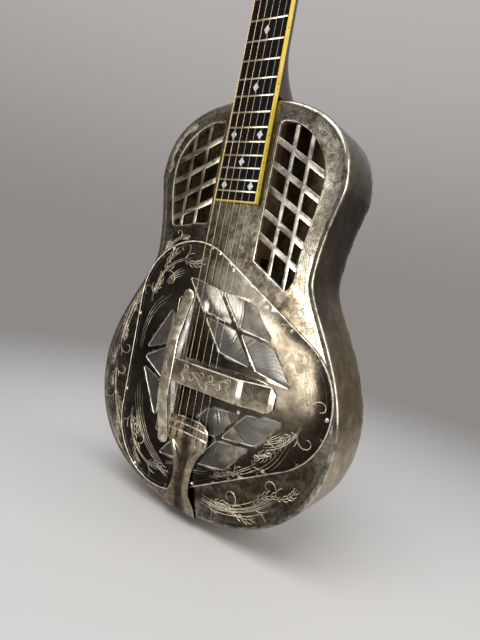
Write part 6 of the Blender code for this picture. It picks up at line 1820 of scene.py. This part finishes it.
def make_wire(k, mat, side, place):
    """One string from its slot in the tailpiece over saddle and nut to its roller."""
    r = STRING_GAUGES[k] / 2
    lift, tail_y = 0.1 * MM + r, -TAIL_HEAD_HEIGHT
    tail_x, saddle_x, nut_x = string_places(k)
    ridge, nut_y = tail_y - 1.5 * MM - r, -NUT_HEIGHT - lift
    corners = [(tail_x, tail_y + 1.6 * MM, TAIL_SLOT_Z - 1.2 * MM),
               (tail_x, tail_y - 0.6 * MM - r, TAIL_SLOT_Z + 1 * MM),
               (tail_x, ridge, TAIL_RIDGE_LOW), (tail_x, ridge, TAIL_RIDGE_HIGH),
               (saddle_x, -SADDLE_HEIGHT - lift, SADDLE_Z), (nut_x, nut_y, NUT_Z),
               (nut_x, nut_y, NUT_Z + NUT_THICK)]
    corners = [Vector(corner) for corner in corners]
    end = (slot_turn_x(place) * side, post_middle() - ROLLER_RADIUS - lift,
           POST_FIRST + POST_SPACING * place)
    corners.append(head_matrix() @ Vector(end))
    path = corners[:4]
    for first, second in zip(corners[3:], corners[4:]):
        count = max(2, int((second - first).length / (30 * MM)))
        path += [first.lerp(second, (i + 1) / count) for i in range(count)]
    finish_piece(f"wire_{k + 1}", string_mesh(f"wire_{k + 1}", path, r, 10), mat,
                 [f"string_{k + 1}"], angle=60)
    return corners[2], corners[4]


def make_wraps(k, mat, ridge, saddle):
    """The string's loop in its slot, and the short wrappings behind and before the tailpiece's ridges."""
    tail_x, reach = ridge.x, STRING_GAUGES[k] / 2 + 0.16 * MM
    loop = [(tail_x + 1.15 * MM * math.cos(a), -TAIL_HEAD_HEIGHT - 0.35 * MM - 0.5 * MM * math.sin(a),
             TAIL_SLOT_Z - 3.6 * MM + 2.6 * MM * math.sin(a))
            for a in [math.pi * (0.5 + i / 9) for i in range(19)]]
    bm = bmesh.new()
    tube(bm, loop, 0.42 * MM, 8)
    finish_piece(f"ball_loop_{k + 1}", bm, mat, angle=60)
    bm = bmesh.new()
    for start in (101.2 * MM, 103.6 * MM, 110.9 * MM, 113.0 * MM):
        turns = []
        for i in range(61):
            a, z = 2 * math.pi * i / 10, start + WRAP_PITCH * i / 10
            y = ridge.y + (saddle.y - ridge.y) * (z - ridge.z) / (saddle.z - ridge.z)
            turns.append((tail_x + reach * math.cos(a), y + reach * math.sin(a), z))
        tube(bm, turns, WRAP_PITCH / 2, 5)
    finish_piece(f"end_wrap_{k + 1}", bm, mat, angle=60)


def make_turns(k, mat, side, place, body, steps=20):
    """Three turns of a string round its roller, which turn with the post."""
    r, rise = STRING_GAUGES[k] / 2, STRING_GAUGES[k] + 0.08 * MM
    matrix = post_matrix(side, place)
    front = matrix.to_3x3().inverted() @ head_matrix().to_3x3() @ Vector((0, -1, 0))
    begin, radius = math.atan2(front.y, front.x), ROLLER_RADIUS + r - 0.1 * MM
    points = []
    for turn in [i / steps for i in range(STRING_TURNS * steps + 1)]:
        (x, y), = around((0, 0), radius, [begin - side * 2 * math.pi * turn])
        points.append(matrix @ Vector((x, y, slot_turn_x(place) + rise * (turn - 0.1))))
    finish_piece(f"turns_{k + 1}", string_mesh(f"turns_{k + 1}", points, r, 8), mat, (), body, 60)


def make_strings():
    for k in range(len(STRING_GAUGES)):
        mat = BRONZE if k < WOUND_STRINGS else STEEL
        side, place = (-1, k) if k < 3 else (1, 5 - k)
        make_wraps(k, mat, *make_wire(k, mat, side, place))
        make_turns(k, mat, side, place, f"post_{'bass' if side < 0 else 'treble'}_{place + 1}")


# Cut ornament: plain scrollwork of vines, palm leaves and spiral shoots, its sizes given in millimetres


def direction(angle):
    return Vector((math.cos(angle), math.sin(angle)))


def angle_of(way):
    return math.atan2(way.y, way.x)


def route(*points):
    """A line's points, given in millimetres."""
    return [(x * MM, z * MM) for x, z in points]


def even_line(points, pitch):
    """Flat points at an even pitch along a line."""
    return [Vector((p.x, p.y)) for p in spaced([(p[0], p[1], 0) for p in points], pitch)]


def curl_line(start, heading, length, bend_from, bend_to, steps=24):
    """Line whose bend grows evenly along it, from one curvature to another, in turns of its whole length."""
    points = [Vector(start)]
    for share in [(k + 0.5) / steps for k in range(steps)]:
        heading += (bend_from + (bend_to - bend_from) * share) / steps
        points.append(points[-1] + direction(heading) * (length / steps))
    return points


def leaf_strokes(start, heading, length, width, bend, steps=24):
    """Palm leaf: a curved spine with hooked blades to both sides, longest in the middle."""
    spine = curl_line(start, heading, length, bend * 0.4, bend * 1.6, steps)
    strokes = [(spine, 1.0 * MM)]
    for side in (-1, 1):
        for share in (0.10, 0.26, 0.42, 0.58, 0.74):
            k = int(share * steps)
            turn = angle_of(spine[k + 1] - spine[k]) + side * 0.85
            blade = width * (0.7 + 0.9 * math.sin(math.pi * share))
            strokes.append((curl_line(spine[k], turn, blade, -side * 0.5, -side * 1.7, 14), 1.2 * MM))
    return strokes


def sweep_strokes(path, count, first, last, width=1.0):
    """Long lines side by side along a path, `first` apart at its start and `last` apart at its end."""
    first, last = first * MM, last * MM
    line = even_line(smooth_line(path, 8), STROKE_PITCH)
    strokes = []
    for side in [n - (count - 1) / 2 for n in range(count)]:
        moved = []
        for i in range(int(len(line) * (1 - 0.1 * abs(side))) - 1):
            ahead = (line[i + 1] - line[i]).normalized()
            gap = first + (last - first) * (i / len(line)) ** 1.5
            moved.append(line[i] + Vector((-ahead.y, ahead.x)) * side * gap)
        strokes.append((moved, width * MM))
    return strokes


def scroll_strokes(start, heading, size, side):
    """Spiral shoot with a hooked leaf tip at its back."""
    outer = curl_line(start, heading, size * 2.9, side * 0.8, side * 9.5, 50)
    turn = angle_of(outer[9] - outer[8]) - side * 0.3
    tip = curl_line(outer[8], turn, size * 0.9, -side * 0.3, -side * 2.0, 18)
    return [(outer, 1.3 * MM), (tip, 1.1 * MM)]


def vine_strokes(path, pitch, size, seed, side=1):
    """Double stem along a path, with a long leaf to one side and a spiral shoot to the other in turn."""
    dice = random.Random(seed)
    line = even_line(smooth_line(path, 8), STROKE_PITCH)
    strokes = sweep_strokes(path, 2, 1.6, 2.6, 1.1)
    step = max(2, int(pitch * MM / STROKE_PITCH))
    for i in range(step // 3, len(line) - 1, step):
        heading = angle_of(line[i + 1] - line[i])
        grown = size * MM * dice.uniform(0.9, 1.15)
        strokes += leaf_strokes(line[i], heading + side * 0.62, grown * 2.3, grown * 0.42, -side * 1.3)
        strokes += scroll_strokes(line[i], heading - side * 0.5, grown * 0.85, -side)
        side = -side
    return strokes


def border_strokes(outline, insets, width):
    """Plain lines that follow an outline."""
    lines = [offset(outline, inset * MM) for inset in insets]
    return [([Vector(p) for p in line + line[:1]], width * MM) for line in lines]


def inside(points, outline):
    """Which of many (x, z) points lie inside an outline."""
    points, corners = np.array(points, float), np.array(outline, float)
    found = np.zeros(len(points), bool)
    for (x0, z0), (x1, z1) in zip(corners, np.roll(corners, -1, axis=0)):
        crosses = (z0 > points[:, 1]) != (z1 > points[:, 1])
        with np.errstate(divide="ignore", invalid="ignore"):
            where = (x1 - x0) * (points[:, 1] - z0) / (z1 - z0) + x0
        found ^= crosses & (points[:, 0] < where)
    return found


def raise_strokes(name, layers, mat, lift, pitch=1.2 * MM):
    """One piece of fine tapering ridges; a layer is its strokes, where metal is free, and its depth there."""
    bm = bmesh.new()
    for strokes, free, depth_of in layers:
        for points, width in strokes:
            line = even_line(points, pitch)
            run = []
            for i, is_free in enumerate([*free(line), False]):
                if is_free:
                    run.append((i, line[i]))
                    continue
                if len(run) > 3:
                    lay_ridge(bm, run, len(line), width, depth_of, lift)
                run = []
    finish_piece(name, front_mesh(bm, name), mat, angle=75)


def lay_ridge(bm, run, total, width, depth_of, lift):
    """Ridge along a run of numbered points, highest in its middle and thin at both ends."""
    points = [here for _, here in run]
    rows = []
    for j, ((i, here), y) in enumerate(zip(run, depth_of(points))):
        ahead = ahead_at(points, j)
        near = min(j, len(run) - 1 - j, 3) / 3
        half = width / 2 * (0.35 + 0.65 * math.sin(math.pi * (i + 0.5) / total) ** 0.6) * (0.2 + 0.8 * near)
        across = Vector((-ahead.y, ahead.x)) * half
        foot, crest = y + 0.04 * MM, y - lift * (0.3 + 0.7 * near)
        rows.append(ring(bm, [(here.x + across.x, foot, here.y + across.y), (here.x, crest, here.y),
                              (here.x - across.x, foot, here.y - across.y)]))
    for first, second in zip(rows, rows[1:]):
        for k in range(2):
            bm.faces.new((first[k], second[k], second[k + 1], first[k + 1]))


def cover_free(points):
    free = inside(points, cover_outline(4.0 * MM, 16))
    for hole in pane_outlines():
        free &= ~inside(points, offset(hole, -2.2 * MM))
    return free & ~inside(points, slot_outline(2.2 * MM))


def top_free(points):
    free = inside(points, offset(RIM, 6.0 * MM)) & ~inside(points, cover_outline(-2.0 * MM, 20))
    for hole in (treble_opening(8), bass_opening(8)):
        free &= ~inside(points, offset(hole, -1.6 * MM))
    board = fret_z(BOARD_PLACES) - 4 * MM
    corners = np.array(points, float)
    return free & ~((np.abs(corners[:, 0]) < 32 * MM) & (corners[:, 1] > board))


def ring_part(middle, radius, first, last, steps=10):
    """Part of a circle, its radius in millimetres and its ends in degrees."""
    return around(middle, radius * MM,
                  [math.radians(first + (last - first) * k / steps) for k in range(steps + 1)])


def make_cover_ornament():
    """Scrolled vines and sheaves of lines round the corners of the cover, inside a plain line."""
    treble, upper, lower = [axis[1:] for axis in cone_axes()]
    strokes = border_strokes(cover_outline(0, 30), (6.2,), 0.35)
    for corner, radius, first, last, *sheaf in (
            (lower, 44, 168, 232, 4, 1.6, 4.2), (upper, 42, 150, 96, 4, 1.6, 4.0),
            (treble, 46, -78, -30, 4, 1.6, 4.2), (treble, 60, 58, 8, 3, 1.4, 3.4)):
        strokes += sweep_strokes(ring_part(corner, radius, first, last, 6), *sheaf)
    for corner, radius, first, last, *vine in (
            (treble, 56, -4, 60, 30, 14, 11), (treble, 54, -14, -84, 31, 15, 12, -1),
            (upper, 57, 186, 84, 34, 16, 13, -1), (lower, 57, 174, 284, 34, 17, 15)):
        strokes += vine_strokes(ring_part(corner, radius, first, last), *vine)
    strokes += vine_strokes(route((36, 58), (60, 70), (84, 87), (104, 104)), 29, 13, 17)
    strokes += vine_strokes(route((36, 277), (60, 262), (88, 243), (112, 226)), 27, 9, 18, -1)
    strokes += sweep_strokes(route((-36, 44), (-66, 66), (-88, 100), (-99, 142)), 4, 2.6, 5.2, 0.9)
    strokes += sweep_strokes(route((-106, 176), (-103, 208), (-90, 236), (-66, 256)), 3, 2.6, 5.0, 0.9)
    strokes += sweep_strokes(route((46, 62), (84, 78), (116, 106), (132, 146)), 3, 2.6, 5.0, 0.9)
    strokes += sweep_strokes(route((-30, 50), (-6, 58), (16, 58), (38, 66)), 3, 1.4, 3.6)
    layers = [(strokes, cover_free, lambda line: -cover_rise(line))]
    raise_strokes("cover_scrollwork", layers, RELIEF_METAL, 0.3 * MM)


def make_cover_bead():
    """One fine raised line all round the cover's turned edge, in the painted highlight metal."""
    strokes = border_strokes(cover_outline(0, 30), (0.8,), 1.5)
    layers = [(strokes, lambda line: np.ones(len(line), bool), lambda line: -cover_rise(line))]
    raise_strokes("cover_bead", layers, PAINTED_EDGE_HIGHLIGHT, 0.45 * MM)


def make_top_ornament():
    """Scrolled vines in the margins of the top, and fine lines along the rim."""
    strokes = border_strokes(RIM, (7.0, 9.0), 0.5)
    for opening in (treble_opening(8), bass_opening(8)):
        strokes += border_strokes(opening, (-2.6,), 0.4)
    treble_way = route((115, 392), (106, 362), (102, 330), (104, 298), (114, 272))
    bass_way = route((-112, 270), (-128, 246), (-141, 216), (-148, 186), (-150, 156))
    bass_foot = route((-150, 150), (-146, 118), (-135, 86), (-118, 60), (-96, 38))
    low_way = route((30, 28), (58, 28), (88, 39), (114, 58), (136, 84))
    shoulder = route((116, 396), (114, 424), (101, 450), (76, 474))
    strokes += sweep_strokes(treble_way, 2, 6.0, 9.0)
    strokes += vine_strokes(shoulder, 28, 8, 21)
    strokes += vine_strokes(treble_way, 26, 8.5, 22, -1)
    strokes += vine_strokes(route((92, 276), (108, 264), (126, 250), (143, 230)), 22, 9, 23)
    strokes += vine_strokes(bass_way, 32, 14, 24)
    strokes += vine_strokes(bass_foot, 32, 14, 25, -1)
    strokes += sweep_strokes(route((-90, 28), (-66, 20), (-38, 16)), 3, 1.6, 3.4)
    strokes += vine_strokes(low_way, 32, 16, 27)
    strokes += sweep_strokes(low_way, 4, 3.0, 7.0, 0.9)
    strokes += sweep_strokes(bass_way, 3, 3.4, 5.6, 0.9)
    strokes += vine_strokes(route((-104, 300), (-82, 322), (-56, 332)), 28, 9, 28)
    strokes += vine_strokes([(-x, z) for x, z in shoulder], 28, 8, 29, -1)
    raise_strokes("top_scrollwork", [(strokes, top_free, crown_drop)], RELIEF_METAL, 0.26 * MM)


def make_rest_ornament():
    """Small scrolls on the flat parts of the handrest."""
    bar = route((-22, -4), (-4, 4), (16, -4), (36, 3), (50, 0))
    strap = [(STRAP_X + x, z) for x, z in route((-1, -30), (2, -10), (-2, 10), (1, 30))]
    half, inner = STRAP_WIDTH / 2 - 2 * MM, STRAP_X + STRAP_WIDTH / 2 + 2 * MM
    layers = []
    for way, vine, thin, (left, right, high), top in (
            (bar, (11, 7.5, 31), 0.75, (inner, 54 * MM, BAR_WIDTH / 2 - 2 * MM), BAR_TOP),
            (strap, (12, 5, 32), 0.7, (STRAP_X - half, STRAP_X + half, 29 * MM), STRAP_TOP)):
        panel = from_centre([(left, -high), (right, -high), (right, high), (left, high)])
        strokes = [(line, width * thin) for line, width in vine_strokes(from_centre(way), *vine)]
        layers.append((strokes, lambda line, panel=panel: inside(line, panel),
                       lambda line, y=-top - 0.12 * MM: [y] * len(line)))
    raise_strokes("rest_scrollwork", layers, RELIEF_METAL, 0.16 * MM, 1.0 * MM)


# Studio

HORIZON_TONE = (0.262, 0.250, 0.243)


def seen_rays(tree):
    """1 where the eye looks, straight or by way of metal or glass."""
    rays = node(tree, "ShaderNodeLightPath").outputs
    seen = maths(tree, "ADD", rays["Is Camera Ray"], rays["Is Glossy Ray"])
    return maths(tree, "ADD", seen, rays["Is Transmission Ray"], clamp=True)


def make_floor(colour, far_tone):
    """Pale round floor under the lowest point, which runs into the backdrop's tone without a line."""
    bm = bmesh.new()
    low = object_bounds()[0][2] - 0.2 * MM
    bmesh.ops.create_circle(bm, cap_ends=True, radius=9.0, segments=96,
                            matrix=Matrix.Translation((0, 0, low)))
    floor = linked("studio_floor", to_mesh(bm, "studio_floor"))
    mat, tree, shader, place = start_material("pale_floor", 0.0, Roughness=0.75)
    speck = spread(tree, noise(tree, place, 3.0, 3, 0.5), 0.3, 0.7)
    give(tree, shader, Base_Color=blend_colours(tree, speck, colour, tuple(c * 1.02 for c in colour)))
    away = node(tree, "ShaderNodeVectorMath", {0: place}, operation="LENGTH").outputs["Value"]
    share = maths(tree, "MULTIPLY", spread(tree, away, 0.25, 1.25), seen_rays(tree))
    far = node(tree, "ShaderNodeEmission", {"Color": far_tone, "Strength": 1.0}).outputs[0]
    mixed = node(tree, "ShaderNodeMixShader", {0: share, 1: shader.outputs[0], 2: far})
    give(tree, tree.nodes["Material Output"], Surface=mixed.outputs[0])
    floor.data.materials.append(mat)
    floor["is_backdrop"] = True


def make_world(light, horizon, zenith):
    """Soft grey world: the eye and the metal see the backdrop's tone, and its light has its own level."""
    world = bpy.data.worlds.new("studio")
    bpy.context.scene.world = world
    world.use_nodes = True
    tree = world.node_tree
    tree.nodes.clear()
    sight = node(tree, "ShaderNodeTexCoord").outputs["Generated"]
    tone = blend_colours(tree, spread(tree, axes(tree, sight)[2], 0.0, 0.55), horizon, zenith)
    dim, plain = [node(tree, "ShaderNodeBackground", {"Color": hue, "Strength": 1.0})
                  for hue in (light, tone)]
    mixed = node(tree, "ShaderNodeMixShader", {0: seen_rays(tree), 1: dim.outputs[0], 2: plain.outputs[0]})
    node(tree, "ShaderNodeOutputWorld", {"Surface": mixed.outputs[0]})


def make_lamp(name, place, target, size, power, colour, lights_all):
    """Soft box that the camera doesn't see. Some are seen only as reflections and light nothing else."""
    lamp = bpy.data.lights.new(name, "AREA")
    lamp.shape, lamp.energy, lamp.color = "RECTANGLE", power, colour
    lamp.size, lamp.size_y = size
    obj = linked(name, lamp)
    aim = (Vector(target) - Vector(place)).to_track_quat("-Z", "Y")
    obj.matrix_world = Matrix.Translation(place) @ aim.to_matrix().to_4x4()
    obj.visible_camera, obj.visible_diffuse = False, lights_all


def make_camera():
    """The photograph's view: its place, and the directions to the right, down and forward."""
    place, right, down = (0.3340, -0.4443, 0.2929), (0.8043, 0.5616, 0.1942), (0.2112, 0.0353, -0.9768)
    forward = (-0.5554, 0.8266, -0.0902)
    data = bpy.data.cameras.new("camera")
    data.lens, data.sensor_width, data.sensor_fit, data.clip_start = 26.68, 36.0, "AUTO", 0.01
    camera = linked("camera", data)
    rows = [(r, -d, -f, p) for r, d, f, p in zip(right, down, forward, place)]
    camera.matrix_world = Matrix(rows + [(0, 0, 0, 1)])
    bpy.context.scene.camera = camera


def light_studio():
    make_world((0.36, 0.36, 0.36), HORIZON_TONE, (0.46, 0.442, 0.435))
    for name, place, target, size, power, colour, lights_all in (
            ("rim_strip", (-0.23, -1.0, 0.20), (0.12, 0.0, 0.25), (0.34, 0.39), 5.2, (1.0, 0.97, 0.90),
             False),
            ("cool_high", (-0.375, -1.0, 0.64), (0.116, 0.0, 0.40), (0.17, 0.36), 0.75, (0.90, 0.95, 1.0),
             False),
            ("bar_glint", (-0.085, -0.60, 0.075), (0.064, 0.0, 0.174), (0.24, 0.14), 0.68, (1.0, 0.98, 0.94),
             False),
            ("cool_soft", (-0.76, -1.27, 0.42), (0.05, 0.0, 0.32), (0.36, 0.50), 1.1, (0.90, 0.95, 1.0),
             False),
            ("top_soft", (0.1, -0.9, 2.1), (0.0, 0.0, 0.3), (2.0, 1.4), 30.0, (1.0, 1.0, 1.0), True),
            ("right_soft", (1.7, 0.2, 0.8), (0.1, 0.04, 0.3), (1.2, 1.4), 15.0, (1.0, 0.97, 0.92), True)):
        make_lamp(name, place, target, size, power, colour, lights_all)


make_top()
make_back()
make_sides()
make_cover()
make_screens()
make_cones()
make_bridge()
make_saddle()
make_handrest()
make_grilles()
make_tailpiece()
make_strap_button()
make_cover_screws()
make_cover_bead()
make_cover_ornament()
make_top_ornament()
make_rest_ornament()
make_board()
make_nut()
make_frets()
make_inlays()
make_neck()
make_headstock()
make_heel_cap()
for side, label in ((-1, "bass"), (1, "treble")):
    make_tuner_plate(side, label)
    for place in range(3):
        make_post(side, label, place)
        make_knob(side, label, place)
make_strings()
for name, mat in (("resonator_well", INSIDE_METAL), ("neck_stick", MAPLE), ("prop_lower", MAPLE),
                  ("prop_upper", MAPLE)):
    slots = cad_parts[name].data.materials
    slots.clear()
    slots.append(mat)
make_camera()
make_floor((0.68, 0.67, 0.665), HORIZON_TONE)
light_studio()
bpy.context.scene.view_settings.view_transform = "Standard"
